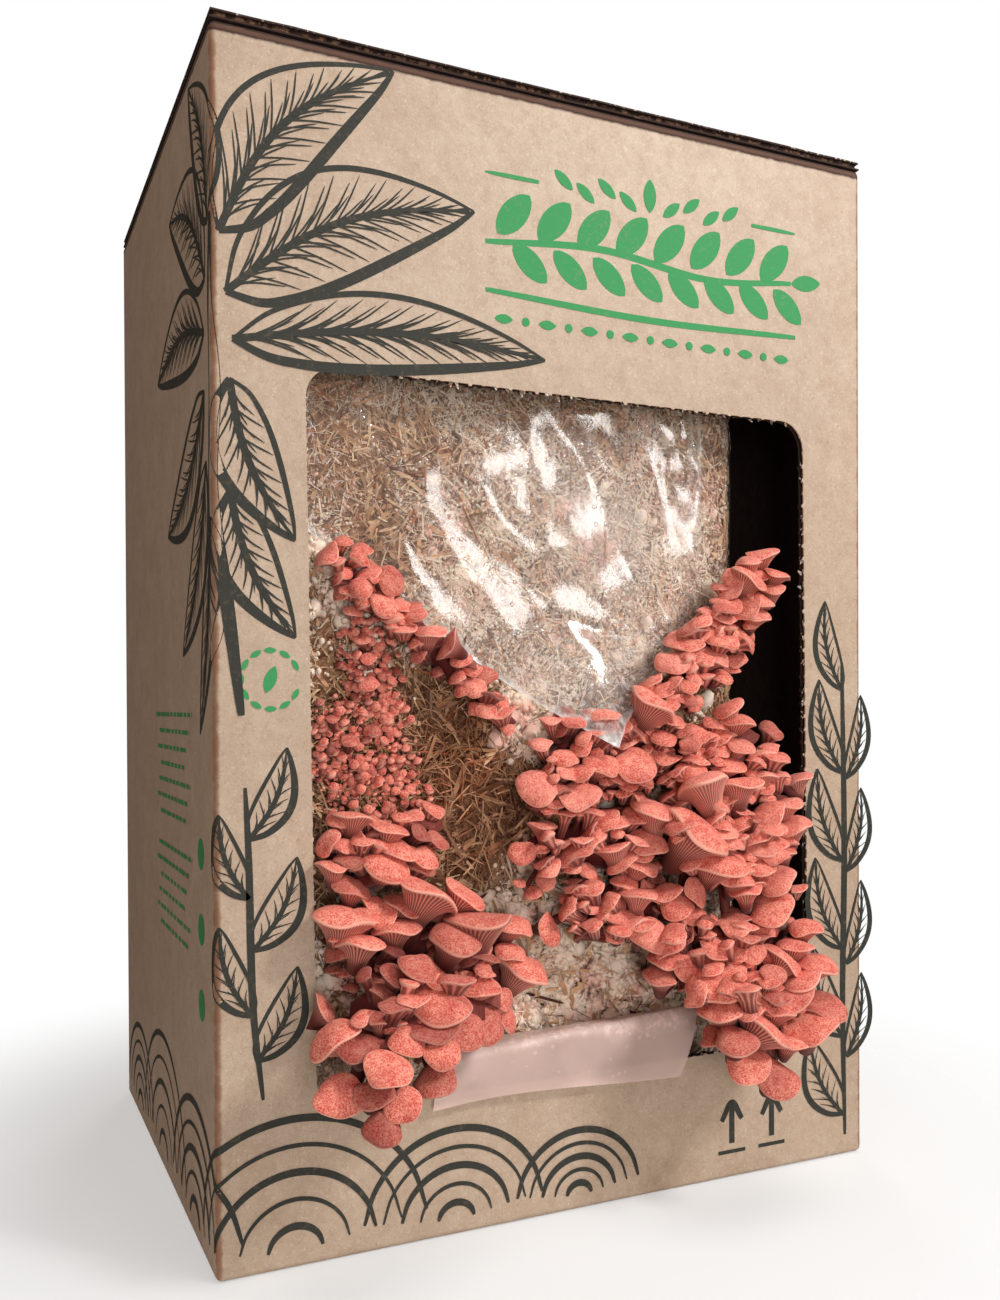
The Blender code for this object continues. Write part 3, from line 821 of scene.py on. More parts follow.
def make_torn_flakes(material, draw):
    """Flakes of paper left along the window's torn edge, most of them on the top and right sides."""
    shape, faces = paper_flake()
    outline = window_outline(0.0, 0.0002, draw)
    points, all_faces = [], []
    for index, spot in enumerate(outline):
        following = outline[(index + 1) % len(outline)]
        along = following - spot
        if along.length < 1e-6:
            continue
        along.normalize()
        inward = Vector((-along.y, along.x))
        at_top = inward.y < -0.5
        at_right = inward.x < -0.5
        if draw.random() > (TORN_CHANCE if at_top or at_right else CLEAN_CHANCE):
            continue
        size = 0.0009 + 0.0014 * draw.random() ** 2
        ahead = FRONT + 0.0002 + draw.random() * 0.0024
        turn = (draw.random() - 0.5) * 1.2
        tilt = (draw.random() - 0.3) * 1.1
        along3 = Vector((along.x, 0, along.y))
        inward3 = Vector((inward.x, 0, inward.y)) * math.cos(tilt) + Vector((0, -math.sin(tilt), 0))
        inward3 = Matrix.Rotation(turn, 3, along3.cross(inward3)) @ inward3
        up3 = along3.cross(inward3).normalized()
        axes = np.array([along3 * size * 0.7, inward3 * size, up3 * size])
        base = Vector((spot.x, ahead, spot.y)) + inward3 * size * 0.35
        start = len(points)
        points.extend(shape @ axes + np.array(base))
        all_faces.extend(tuple(start + corner for corner in face) for face in faces)
    flakes = mesh_object("window_torn_flakes", points, all_faces, material)
    apply_modifier(flakes, "SOLIDIFY", thickness=FLAKE_THICKNESS, offset=0.0)
    shade(flakes, 50)
    return flakes


# Print on the carton. Places are (s, z) in millimetres: s runs along the board from the front left fold,
# to the right over the front, and below zero to the back over the left side.

INK_LIFT = 0.00006
INK_STEP = 0.000003
INK_LAYERS = 61
BLOB_STEPS = 6
VEIN_REACHES = (0.86, 0.44, 0.70, 0.34)


def on_board(s, z, lift):
    """The point of the printed board at s and z, round the fold."""
    bend = FOLD_RADIUS * math.pi / 4
    s, z = s * MM, z * MM
    radius = FOLD_RADIUS + lift
    corner = Vector((LEFT + FOLD_RADIUS, FRONT + FOLD_RADIUS, z))
    if s >= bend:
        return corner + Vector((s - bend, -radius, 0))
    if s <= -bend:
        return corner + Vector((-radius, -s - bend, 0))
    angle = s / bend * math.pi / 4 - math.pi / 4
    return corner + Vector((math.sin(angle) * radius, -math.cos(angle) * radius, 0))


def smooth_path(points, step=1.2):
    """A rounded path through the points, with a point every step or so."""
    spots = [Vector(p) for p in points]
    if len(spots) == 2:
        spots = [spots[0], (spots[0] + spots[1]) / 2, spots[1]]
    padded = [2 * spots[0] - spots[1], *spots, 2 * spots[-1] - spots[-2]]
    path = []
    for before, start, end, after in zip(padded, padded[1:], padded[2:], padded[3:]):
        count = max(2, round((end - start).length / step))
        for index in range(count):
            t = index / count
            spot = 2 * start + (end - before) * t
            spot = spot + (2 * before - 5 * start + 4 * end - after) * t**2
            spot = spot + (3 * start - before - 3 * end + after) * t**3
            path.append(0.5 * spot)
    path.append(spots[-1])
    return path


class Print:
    """Flat ink shapes, gathered and laid on the board as one mesh."""

    def __init__(self):
        self.points = []
        self.faces = []
        self.count = 0

    def add(self, rows):
        """Rows of places across a shape, joined row to row."""
        start = len(self.points)
        width = len(rows[0])
        self.count += 1
        lift = INK_LIFT + INK_STEP * (self.count % INK_LAYERS)
        for row in rows:
            self.points.extend(on_board(*spot, lift) for spot in row)
        for row in range(len(rows) - 1):
            for column in range(width - 1):
                corner = start + row * width + column
                self.faces.append((corner, corner + 1, corner + width + 1, corner + width))

    def stroke(self, points, width, start_width=0.1, end_width=0.1):
        """A line that swells to its width and thins to a share of it at each end."""
        path = smooth_path(points)
        rows = []
        for index, spot in enumerate(path):
            before = path[max(0, index - 1)]
            after = path[min(len(path) - 1, index + 1)]
            along = (after - before).normalized()
            across = Vector((-along.y, along.x))
            t = index / (len(path) - 1)
            swell = math.sin(math.pi * t) ** 0.6
            share = swell + (1 - swell) * (start_width if t < 0.5 else end_width)
            half = across * width * share / 2
            rows.append([spot - half, spot + half])
        self.add(rows)

    def blob(self, middle, half_length, half_width, angle=0.0, pointed=1.0):
        """A filled lens or disc. pointed 1 is a disc's end and 2 a leaf's."""
        along = Vector((math.cos(angle), math.sin(angle)))
        across = Vector((-along.y, along.x))
        rows = []
        for index in range(2 * BLOB_STEPS + 1):
            t = -1 + index / BLOB_STEPS
            half = half_width * (1 - t * t) ** (pointed / 2)
            spot = Vector(middle) + along * half_length * t
            rows.append([spot - across * half, spot, spot + across * half])
        self.add(rows)

    def leaf(self, base, tip, width, bend=0.12, line=1.9, hatch=2.1):
        """A leaf: a bold outline, heavier on its lower side, a midrib, and veins that thin out outwards."""
        base, tip = Vector(base), Vector(tip)
        along = tip - base
        length = along.length
        along.normalize()
        across = Vector((-along.y, along.x))
        heavy = -1 if across.y > 0 else 1

        def curve(t):
            return base + along * length * t + across * length * bend * math.sin(math.pi * t)

        def half(t):
            return width / 2 * math.sin(math.pi * min(1.0, t**0.8)) ** 0.85

        for side in (-1, 1):
            edge = [curve(t / 10) + across * side * half(t / 10) for t in range(11)]
            self.stroke(edge, line * (1.9 if side == heavy else 1.0), 0.5, 0.3)
        self.stroke([curve(t / 6 * 0.94) for t in range(7)], line * 1.25, 1.0, 0.2)
        count = int(length / hatch)
        for index in range(1, count):
            t = index / count
            for side in (-1, 1):
                forward = min(0.98, t + 0.16)
                reach = VEIN_REACHES[index % 4]
                root = curve(t)
                end = curve(forward) + across * side * half(forward) * reach
                middle = (root + end) / 2 - across * side * 0.006 * length
                self.stroke([root, middle, end], line * 0.32, 1.0, 0.2)

    def leaves(self, rows, **line):
        """The leaves of a table, all drawn with the same line."""
        for base_s, base_z, tip_s, tip_z, width, bend in rows:
            self.leaf((base_s, base_z), (tip_s, tip_z), width, bend, **line)

    def finish(self, name, material):
        obj = mesh_object(name, self.points, self.faces, material)
        obj.data.update()
        hand_over(obj, "kraft_board")
        return obj


# Leaves as (base s, base z, tip s, tip z, width, bend)
UPPER_SPRAY = (
    (2, 318, 58, 378, 30, 0.12),
    (4, 300, 86, 338, 34, 0.10),
    (6, 286, 112, 292, 24, 0.05),
    (-4, 322, -34, 376, 26, -0.10),
    (-8, 306, -72, 346, 32, -0.12),
    (-10, 290, -100, 296, 28, -0.08),
    (-10, 272, -78, 236, 28, 0.10),
    (-8, 250, -50, 192, 24, 0.10),
    (-2, 232, -20, 166, 16, 0.06),
    (5, 274, 25, 226, 19, -0.08),
    (5, 240, 25, 196, 17, -0.08),
)
RIGHT_VINE = (
    (240, 16, 224, 48, 15, 0.1),
    (240, 46, 226, 82, 14, 0.1),
    (240, 80, 227, 116, 13, 0.1),
    (240, 114, 228, 150, 13, 0.1),
    (240, 148, 229, 184, 12, 0.1),
    (240, 180, 232, 214, 11, 0.1),
    (242, 38, 249, 70, 10, -0.1),
    (242, 74, 249, 106, 10, -0.1),
    (242, 110, 249, 142, 10, -0.1),
    (242, 146, 249, 178, 9, -0.1),
)
LOWER_SPRIG = (
    (12, 66, 25, 94, 12, -0.1),
    (11, 80, 1, 108, 11, 0.1),
    (11, 100, 25, 128, 12, -0.1),
    (10, 116, 1, 142, 10, 0.1),
    (10, 134, 22, 162, 11, -0.1),
)

# Stems as (points, width, share of it at the start, share at the end)
UPPER_STEM = (((-1, 324), (-2, 300), (0, 272), (-1, 240), (4, 205), (8, 172)), 5.0, 0.2, 0.4)
RIGHT_STEM = (((241, 8), (240, 60), (241, 120), (240, 190)), 2.8, 0.4, 0.4)
LOWER_STEM = (((14, 54), (11, 84), (10, 128), (9, 150)), 2.4, 0.4, 0.4)

# Arches as (middle s, radius)
ARCHES = ((24, 44), (78, 32), (124, 24), (-34, 42), (-98, 48), (-158, 36))
ARCH_FOOT = 5
ARCH_RINGS = 5
ARROWS = (188, 206)
HEAVY_LINE, LIGHT_LINE = 2.4, 1.4

# Green print: a branch on the front, a ring of leaves at the fold, rows of short bars on the left side
BRANCH_MIDDLE = 154
BRANCH_LEAVES = 8
BEADS = 15
RING_MIDDLE = (17, 183)
RING_RADIUS = 9.0
BAR_ROWS = 13
BAR_TOP = 172
DOTS = (128, 104, 80)


def print_dark(material):
    """Leaves, stems, arches and two arrows in dark ink."""
    art = Print()
    art.leaves(UPPER_SPRAY)
    art.stroke(*UPPER_STEM)
    art.leaves(RIGHT_VINE + LOWER_SPRIG, line=1.3, hatch=1.9)
    art.stroke(*RIGHT_STEM)
    art.stroke(*LOWER_STEM)
    for middle, radius in ARCHES:
        for ring in range(ARCH_RINGS):
            reach = radius * (1 - 0.2 * ring)
            spots = []
            for index in range(9):
                angle = math.radians(8 + 164 * index / 8)
                spots.append((middle + reach * math.cos(angle), ARCH_FOOT + reach * 0.95 * math.sin(angle)))
            art.stroke(spots, HEAVY_LINE if ring % 2 == 0 else LIGHT_LINE, 0.4, 0.4)
    for middle in ARROWS:
        art.stroke([(middle, 13), (middle, 27)], HEAVY_LINE, 1.0, 1.0)
        art.stroke([(middle - 4.5, 21.5), (middle, 28), (middle + 4.5, 21.5)], HEAVY_LINE, 0.8, 0.8)
        art.stroke([(middle - 6, 10), (middle + 6, 10)], LIGHT_LINE, 1.0, 1.0)
    return art.finish("print_dark", material)


def print_green(material):
    """The branch with its lines and beads, the ring of leaves, and the rows of bars in green ink."""
    art = Print()
    print_branch(art)
    print_ring(art)
    print_bars(art)
    return art.finish("print_green", material)


def print_branch(art):
    """A branch of leaves, with a line below it, a garland above and a row of beads."""
    middle = BRANCH_MIDDLE
    stem = [(middle - 64, 329), (middle - 20, 333), (middle + 24, 329), (middle + 62, 333)]
    art.stroke(stem, 2.6, 0.6, 0.6)
    for index in range(BRANCH_LEAVES):
        s = middle - 62 + index * 15.4
        art.blob((s + 8.5, 339.5), 9.6, 4.7, math.radians(50), 1.4)
        art.blob((s + 14.5, 324.0), 8.6, 4.2, math.radians(-42), 1.4)
    art.blob((middle + 69, 334), 7.0, 3.0, math.radians(8), 1.7)
    art.stroke([(middle - 64, 313), (middle, 311), (middle + 64, 313)], 2.4, 0.6, 0.6)
    for side in (-1, 1):
        art.stroke([(middle + side * 44, 352), (middle + side * 64, 352)], 1.5, 0.8, 0.3)
        for index in range(4):
            s = middle + side * (9 + index * 8.5)
            art.blob((s, 353 + (1.5 if index % 2 else -1.5)), 4.6, 1.9, math.radians(90 - side * 50), 1.7)
    art.blob((middle, 355), 6.0, 2.6, math.radians(90), 1.7)
    for index in range(BEADS):
        s = middle + (index - BEADS // 2) * 8.2
        if index % 2:
            art.blob((s, 304), 1.5, 1.5, 0.0, 1.0)
        else:
            art.blob((s, 304), 3.4, 1.6, 0.0, 1.8)


def print_ring(art):
    """A ring of eleven small leaves, open at its right, with one leaf inside."""
    s, z = RING_MIDDLE
    for index in range(1, 12):
        angle = math.radians(30 * index)
        spot = (s + RING_RADIUS * math.cos(angle), z + RING_RADIUS * math.sin(angle))
        art.blob(spot, 2.0, 0.9, angle + math.pi / 2, 1.7)
    art.blob(RING_MIDDLE, 4.4, 1.9, math.radians(70), 1.7)


def print_bars(art):
    """Two groups of rows of short bars on the left side, and the dots beside them."""
    for row in range(BAR_ROWS):
        left, right = -108 + (row * 7) % 11, -34 - (row * 5) % 17
        z = BAR_TOP - row * 6.0 - (6 if row > 6 else 0)
        s = left
        while s < right:
            length = 5 + (row * 3 + int(abs(s))) % 7
            art.stroke([(s, z), (min(s + length, right), z)], 1.5, 1.0, 1.0)
            s += length + 2.2
    for z in DOTS:
        art.blob((-20, z), 5.0, 5.0, 0.0, 1.0)


# Straw block


def block_shell(name, cuts, stands_off):
    """The block's form: a cube cut finely and drawn out to a rounded box, with shallow lumps."""
    bpy.ops.mesh.primitive_cube_add(size=2.0)
    shell = named(bpy.context.object, name)
    start_editing()
    bpy.ops.mesh.subdivide(number_cuts=cuts)
    stop_editing()
    middle = (BLOCK_LOW + BLOCK_HIGH) / 2
    half = (BLOCK_HIGH - BLOCK_LOW) / 2
    core = half - Vector((BLOCK_ROUNDING,) * 3)
    for vert in shell.data.vertices:
        flat = Vector(half[i] * math.sin(vert.co[i] * math.pi / 2) for i in range(3))
        inner = Vector(max(-core[i], min(core[i], flat[i])) for i in range(3))
        normal = (flat - inner).normalized()
        surface = inner + normal * BLOCK_ROUNDING + middle
        lump = LUMP_DEPTH * (0.5 + 0.5 * noise.noise(surface / LUMP_SIZE))
        vert.co = surface + normal * (stands_off - lump)
    shell.data.update()
    return shell


def block_spot(x, z):
    """The point of the block's front at x and z."""
    y = BLOCK_LOW.y
    for value, low, high in ((x, BLOCK_LOW.x, BLOCK_HIGH.x), (z, BLOCK_LOW.z, BLOCK_HIGH.z)):
        into = max(low + BLOCK_ROUNDING - value, value - high + BLOCK_ROUNDING, 0.0)
        into = min(into, BLOCK_ROUNDING)
        y += BLOCK_ROUNDING - math.sqrt(BLOCK_ROUNDING**2 - into**2)
    surface = Vector((x, y, z))
    return surface + Vector((0, LUMP_DEPTH * (0.5 + 0.5 * noise.noise(surface / LUMP_SIZE)), 0))


def tongue_height(x):
    """The height of the film tongue's edge at x."""
    side = TONGUE_LEFT if x < TONGUE_TIP.x else TONGUE_RIGHT
    share = (x - TONGUE_TIP.x) / (side.x - TONGUE_TIP.x)
    return TONGUE_TIP.y + share * (side.y - TONGUE_TIP.y)


def uncovered(x, z):
    """Whether the film is open in front of the block at x and z."""
    return CUT_LEFT < x < CUT_RIGHT and CUT_BOTTOM < z < tongue_height(x)


def near(x, z, middle_x, middle_z, reach_x, reach_z):
    """1 in the middle of an oval in millimetres, falling to 0 at its rim. x and z are in metres."""
    distance = math.hypot((x / MM - middle_x) / reach_x, (z / MM - middle_z) / reach_z)
    return max(0.0, 1.0 - distance)


# Where mycelium covers the front or leaves it bare: (amount, middle x, middle z, reach x, reach z)
OVERGROWTH = (
    (1.25, 2, 78, 50, 40),
    (-1.40, -40, 148, 34, 50),
    (-0.70, -80, 158, 34, 56),
    (0.50, -50, 196, 40, 24),
    (0.90, -14, 176, 28, 24),
    (0.80, 16, 226, 70, 52),
    (-0.10, -84, 262, 50, 50),
    (-0.70, 88, 165, 24, 44),
)
BARE_PATCH = (-40, 148, 36, 48)
NEST_PATCH = (2, 78, 46, 38)


def whiteness(x, z):
    """How far the mycelium has overgrown the front of the block."""
    wave = noise.noise(Vector((x * 40, 3.1, z * 40))) + 0.5 * noise.noise(Vector((x * 110, 5.1, z * 110)))
    white = 0.36 + 0.55 * wave
    for amount, *patch in OVERGROWTH:
        white += amount * near(x, z, *patch)
    return clamp(white)


def straw_shape():
    """One straw of length 1: three sides between two rings, and a point at each end."""
    lying = (0, math.radians(90), 0)
    bpy.ops.mesh.primitive_cylinder_add(vertices=3, radius=0.5, depth=0.7, rotation=lying)
    straw = settle(bpy.context.object)
    bpy.ops.object.mode_set(mode="EDIT")
    bpy.ops.mesh.select_mode(type="FACE")
    bpy.ops.mesh.select_all(action="DESELECT")
    bm = bmesh.from_edit_mesh(straw.data)
    for face in bm.faces:
        face.select = abs(face.normal.x) > 0.9
    bmesh.update_edit_mesh(straw.data)
    bpy.ops.mesh.poke(offset=0.15)
    stop_editing()
    return shape_arrays(straw)


def shape_arrays(obj):
    """An object's points, and its faces as corners and sizes. The object is dropped."""
    points = np.array([v.co for v in obj.data.vertices])
    corners = np.array([corner for p in obj.data.polygons for corner in p.vertices], np.int32)
    sizes = np.array([len(p.vertices) for p in obj.data.polygons], np.int32)
    drop(obj)
    return points, (corners, sizes)


def in_order(points, faces):
    """The same shape, with its points sorted by place and its faces by their corners."""
    corners, sizes = faces
    order = np.lexsort(points.T)
    rank = np.argsort(order)
    loops = sorted(rank[loop].tolist() for loop in np.split(corners, np.cumsum(sizes)[:-1]))
    corners = np.array([corner for loop in loops for corner in loop], np.int32)
    sizes = np.array([len(loop) for loop in loops], np.int32)
    return points[order], (corners, sizes)


class Crowd:
    """Copies of small shapes, gathered as arrays and made one mesh."""

    def __init__(self):
        self.points = []
        self.corners = []
        self.sizes = []
        self.tones = []
        self.count = 0

    def add(self, points, faces, tones):
        corners, sizes = faces
        self.points.append(points)
        self.corners.append(corners + self.count)
        self.sizes.append(sizes)
        self.tones.append(tones)
        self.count += len(points)

    def finish(self, name, material, key):
        points = np.concatenate(self.points).astype(np.float32)
        corners = np.concatenate(self.corners)
        sizes = np.concatenate(self.sizes)
        mesh = bpy.data.meshes.new(name)
        mesh.vertices.add(len(points))
        mesh.vertices.foreach_set("co", points.ravel())
        mesh.loops.add(len(corners))
        mesh.loops.foreach_set("vertex_index", corners)
        mesh.polygons.add(len(sizes))
        mesh.polygons.foreach_set("loop_start", np.cumsum(sizes) - sizes)
        mesh.update(calc_edges=True)
        keep_rows(mesh, key, np.concatenate(self.tones))
        mesh.materials.append(material)
        return linked(name, mesh)


# Straws. A kind has its narrowest width and the range of it in millimetres, and its curl.
THREAD, CHIP, FLAKE = (0.22, 0.30, 1.1), (0.6, 0.7, 0.35), (1.2, 1.2, 0.2)
PRESSED_LIFT = 0.3
THREADS_PRESSED, CHIPS_PRESSED = 0.52, 0.90
THREADS_LOOSE, CHIPS_LOOSE = 0.68, 0.94
PALE_THREADS = 0.24
NEST_FLAKES, NEST_STRAWS = 0.04, 0.16

# The field of straws on the front as its corner and size, their lengths, and the heights that are seen
STRAWS_FROM = (BLOCK_LOW.x + 0.010, 0.020)
STRAWS_OVER = (BLOCK_HIGH.x - BLOCK_LOW.x - 0.012, 0.300)
SHORTEST_STRAW, STRAW_LENGTHS = 0.0022, 0.0100
SEEN_FROM, SEEN_TO = 0.036, 0.292
HIDDEN_SKIPPED = 0.8
FORCED_FLAKE = -0.5


def straw_kind(drawn, pressed):
    """The kind of straw that a drawn number from 0 to 1 stands for."""
    if drawn < (THREADS_PRESSED if pressed else THREADS_LOOSE):
        return THREAD
    if drawn < (CHIPS_PRESSED if pressed else CHIPS_LOOSE):
        return CHIP
    return FLAKE


def straw_axes(normal, lift, draw):
    """A straw's three directions: it lies anywhere round the normal, tipped by its lift, and rolled."""
    angle = draw.random() * math.pi * 2
    side = normal.cross(Vector((0.31, 0.22, 0.92))).normalized()
    along = Matrix.Rotation(angle, 3, normal) @ side
    along = (along + normal * (draw.random() - 0.5) * lift).normalized()
    across = normal.cross(along).normalized()
    up = along.cross(across)
    roll = Matrix.Rotation(draw.random() * FULL_TURN, 3, along)
    return np.array([along, roll @ across, roll @ up])


def bent(shape, length, width, thick, curl, draw):
    """A straw's own form, drawn out to its size and bent two ways."""
    local = shape * np.array([length, width, thick])
    arch = (0.25 - shape[:, 0] ** 2) * length * curl
    local[:, 2] += arch * (draw.random() - 0.5) * 0.6
    local[:, 1] += arch * (draw.random() - 0.5) * 2.4
    return local


def scatter_straws(crowd, shape, faces, spots, draw):
    """Lays a straw at each (place, normal, white, golden, length, lift).

    A negative white makes it a flake.
    """
    for place, normal, white, golden, length, lift in spots:
        forced = white < 0
        pressed = lift < PRESSED_LIFT
        drawn = 1.0 if forced else draw.random()
        kind = straw_kind(drawn, pressed)
        narrowest, spread, curl = kind
        width = (narrowest + spread * draw.random()) * MM
        if pressed and drawn < PALE_THREADS:
            white = max(white, 0.75)
            golden = golden * 0.4
        if kind is FLAKE:
            length *= 1.3
            golden = max(golden, 0.45)
            white = max(0.0, white * 0.3)
        width = min(width, length * 0.5)
        thick = width * (0.25 + 0.4 * draw.random())
        axes = straw_axes(normal, lift, draw)
        points = bent(shape, length, width, thick, curl, draw) @ axes + np.array(place)
        least = max(0.30 if pressed else 0.12, 0.70 * white, 0.70 * forced)
        bright = least + 0.90 * draw.random() ** 0.8
        tone = np.array([golden * (0.6 + 0.6 * draw.random()), bright, white, 1.0])
        crowd.add(points, faces, np.tile(tone, (len(points), 1)))


def front_straws(draw, count, in_cut):
    """Places for straws on the block's front, in the open cut or behind the film."""
    spots = []
    while len(spots) < count:
        x = STRAWS_FROM[0] + draw.random() * STRAWS_OVER[0]
        z = STRAWS_FROM[1] + draw.random() * STRAWS_OVER[1]
        open_here = uncovered(x, z)
        if open_here != in_cut or (not SEEN_FROM < z < SEEN_TO and draw.random() < HIDDEN_SKIPPED):
            continue
        bare = near(x, z, *BARE_PATCH)
        white = whiteness(x, z)
        golden = 0.15 + (0.5 if open_here else 0.75) * draw.random() ** 2 + 0.6 * bare
        length = SHORTEST_STRAW + STRAW_LENGTHS * draw.random() ** 2.6
        depth = draw.random()
        lift = 0.6 if open_here else 0.10
        ahead = (0.0028 if open_here else 0.0007) * depth - 0.0010
        if bare > 0:
            length *= 1.8

        # In the white patch some flakes and pale straws lie on top
        nest = draw.random() if open_here and near(x, z, *NEST_PATCH) > 0 else 1.0
        if nest < NEST_FLAKES:
            golden, white, ahead = 0.35, FORCED_FLAKE, 0.0030
            length = 0.003 + 0.003 * draw.random()
        elif nest < NEST_STRAWS:
            golden, white, ahead = 0.40, 0.48, 0.0034
            length = 0.006 + 0.006 * draw.random()
        place = block_spot(x, z)
        out = (block_spot(x + MM, z) - place).cross(block_spot(x, z + MM) - place).normalized()
        place += out * ahead
        spots.append((place, out, white * (0.4 + 0.9 * draw.random()), golden, length, lift))
    return spots


def other_straws(draw, shell, count):
    """Places for straws over the block's other sides."""
    polygons = [p for p in shell.data.polygons if p.normal.y > -0.7]
    spots = []
    for index in draw.choice(len(polygons), count):
        polygon = polygons[index]
        normal = polygon.normal
        place = polygon.center + normal * (0.0004 * draw.random() - 0.0006)
        jitter = Vector(draw.random(3) - 0.5) * 0.006
        place = place + jitter - normal * jitter.dot(normal)
        white = 0.25 + 0.5 * noise.noise(place * 40)
        length = 0.004 + 0.010 * draw.random() ** 2
        spots.append((place, normal, white, 0.5 * draw.random(), length, 0.1))
    return spots


def clump_shape():
    """A small uneven lump."""
    bpy.ops.mesh.primitive_ico_sphere_add(subdivisions=1, radius=1.0)
    clump = bpy.context.object
    for vert in clump.data.vertices:
        vert.co *= 1 + 0.4 * noise.noise(vert.co * 1.7)
    return shape_arrays(clump)


# Mycelium: the field that it grows in, and for the cut and behind the film where it stays away, its share
# of mats, how large a crumb grows, and how far it stands out
FLUFF_FROM, FLUFF_OVER = (BLOCK_LOW.x + 0.012, 0.040), (0.184, 0.250)
FLUFF_IN_CUT = (-0.10, 0.26, 0.0013, 0.0030)
FLUFF_PRESSED = (-0.15, 0.04, 0.0005, 0.0004)
MAT_FLATTENED = 0.38


def make_fluff(name, draw, material, in_cut):
    """Crumbs, tufts and mats of mycelium on the straw, where it has overgrown it."""
    shape, faces = clump_shape()
    crowd = Crowd()
    thinnest, mats, grown, stands_out = FLUFF_IN_CUT if in_cut else FLUFF_PRESSED
    placed_count = 0
    while placed_count < FLUFF_COUNT:
        x = FLUFF_FROM[0] + draw.random() * FLUFF_OVER[0]
        z = FLUFF_FROM[1] + draw.random() * FLUFF_OVER[1]
        white = whiteness(x, z)
        patchy = noise.noise(Vector((x * 170, 9.0, z * 170)))
        patchy = patchy + 0.6 * noise.noise(Vector((x * 420, 2.0, z * 420)))
        if uncovered(x, z) != in_cut or patchy < thinnest or draw.random() > white**1.3:
            continue
        mat = draw.random() < mats * white
        if mat:
            size = 0.0012 + 0.0032 * draw.random() ** 2
        else:
            size = 0.0003 + grown * draw.random() ** 2
        ahead = stands_out * draw.random() - (0.0014 if mat else 0.0004)
        place = block_spot(x, z) + Vector((0, -ahead, 0))
        turn = Euler(draw.random(3) * FULL_TURN).to_matrix()
        stretch = np.array([1.0, 0.6 + 0.8 * draw.random(), 0.5 + 0.5 * draw.random()]) * size
        local = (shape * stretch) @ np.array(turn)
        if mat:
            local[:, 1] *= MAT_FLATTENED
        crowd.add(local + np.array(place), faces, np.ones((len(shape), 4)))
        placed_count += 1
    fluff = crowd.finish(name, material, "tone")
    shade(fluff)
    hand_over(fluff, "straw")


def make_bed():
    """The rough body of the block, which is seen between the straws."""
    bed = block_shell("straw_block", BED_CUTS, -0.0012)
    normals = [vert.normal.copy() for vert in bed.data.vertices]
    for vert, normal in zip(bed.data.vertices, normals):
        rough = noise.noise(vert.co * 160) * 0.0009 + noise.noise(vert.co * 420) * 0.0006
        vert.co -= normal * (0.0006 - rough)
    rows = np.zeros((len(bed.data.vertices), 4), np.float32)
    for row, vert in zip(rows, bed.data.vertices):
        at_front = vert.co.y < BLOCK_LOW.y + BLOCK_ROUNDING
        row[0] = whiteness(vert.co.x, vert.co.z) if at_front else 0.20 + 0.4 * noise.noise(vert.co * 40)
    keep_rows(bed.data, "overgrown", rows)
    bed.data.materials.append(straw_bed())
    shade(bed)
    hand_over(bed, "straw", "straw_block")
    return bed


def make_block(draw):
    """The bed, the straws on all its sides, and the mycelium on its front."""
    bed = make_bed()
    straw = chopped_straw()
    shape, faces = straw_shape()
    for name, spots in (
        ("straw_in_the_cut", front_straws(draw, CUT_STRAWS, True)),
        ("straw_behind_film", front_straws(draw, FILM_STRAWS, False)),
        ("straw_around", other_straws(draw, bed, OTHER_STRAWS)),
    ):
        crowd = Crowd()
        scatter_straws(crowd, shape, faces, spots, draw)
        layer = crowd.finish(name, straw, "tone")
        shade(layer, STRAW_ANGLE)
        hand_over(layer, "straw")
    white_fluff = mycelium()
    make_fluff("mycelium_in_the_cut", draw, white_fluff, True)
    make_fluff("mycelium_behind_film", draw, white_fluff, False)


# Film bag


def wrinkle(x, z):
    """How far the film stands ahead of its flat place, in metres: folds that run down to the left."""
    slant = x * 0.8 + z * 0.6
    cross = x * 0.6 - z * 0.8
    fold = 1 - abs(noise.noise(Vector((slant * 34, cross * 11, 1.7)))) * 2.2
    small = 1 - abs(noise.noise(Vector((slant * 90, cross * 38, 7.3)))) * 2.0
    sag = 0.5 + 0.5 * noise.noise(Vector((x * 14, z * 14, 4.0)))
    return FOLD_HEIGHT * max(0.0, fold) ** 3 + SMALL_FOLD_HEIGHT * max(0.0, small) ** 3 + SAG_DEPTH * sag


def front_faces(bm, chosen):
    """The faces at the front whose middle is chosen."""
    return [f for f in bm.faces if f.normal.y < -0.5 and chosen(f.calc_center_median())]


def cut_front(bm, chosen, place, normal):
    """Cuts the chosen faces at the front along a plane."""
    faces = front_faces(bm, chosen)
    edges = {e for f in faces for e in f.edges}
    verts = {v for f in faces for v in f.verts}
    geometry = faces + list(edges) + list(verts)
    bmesh.ops.bisect_plane(bm, geom=geometry, plane_co=place, plane_no=normal)


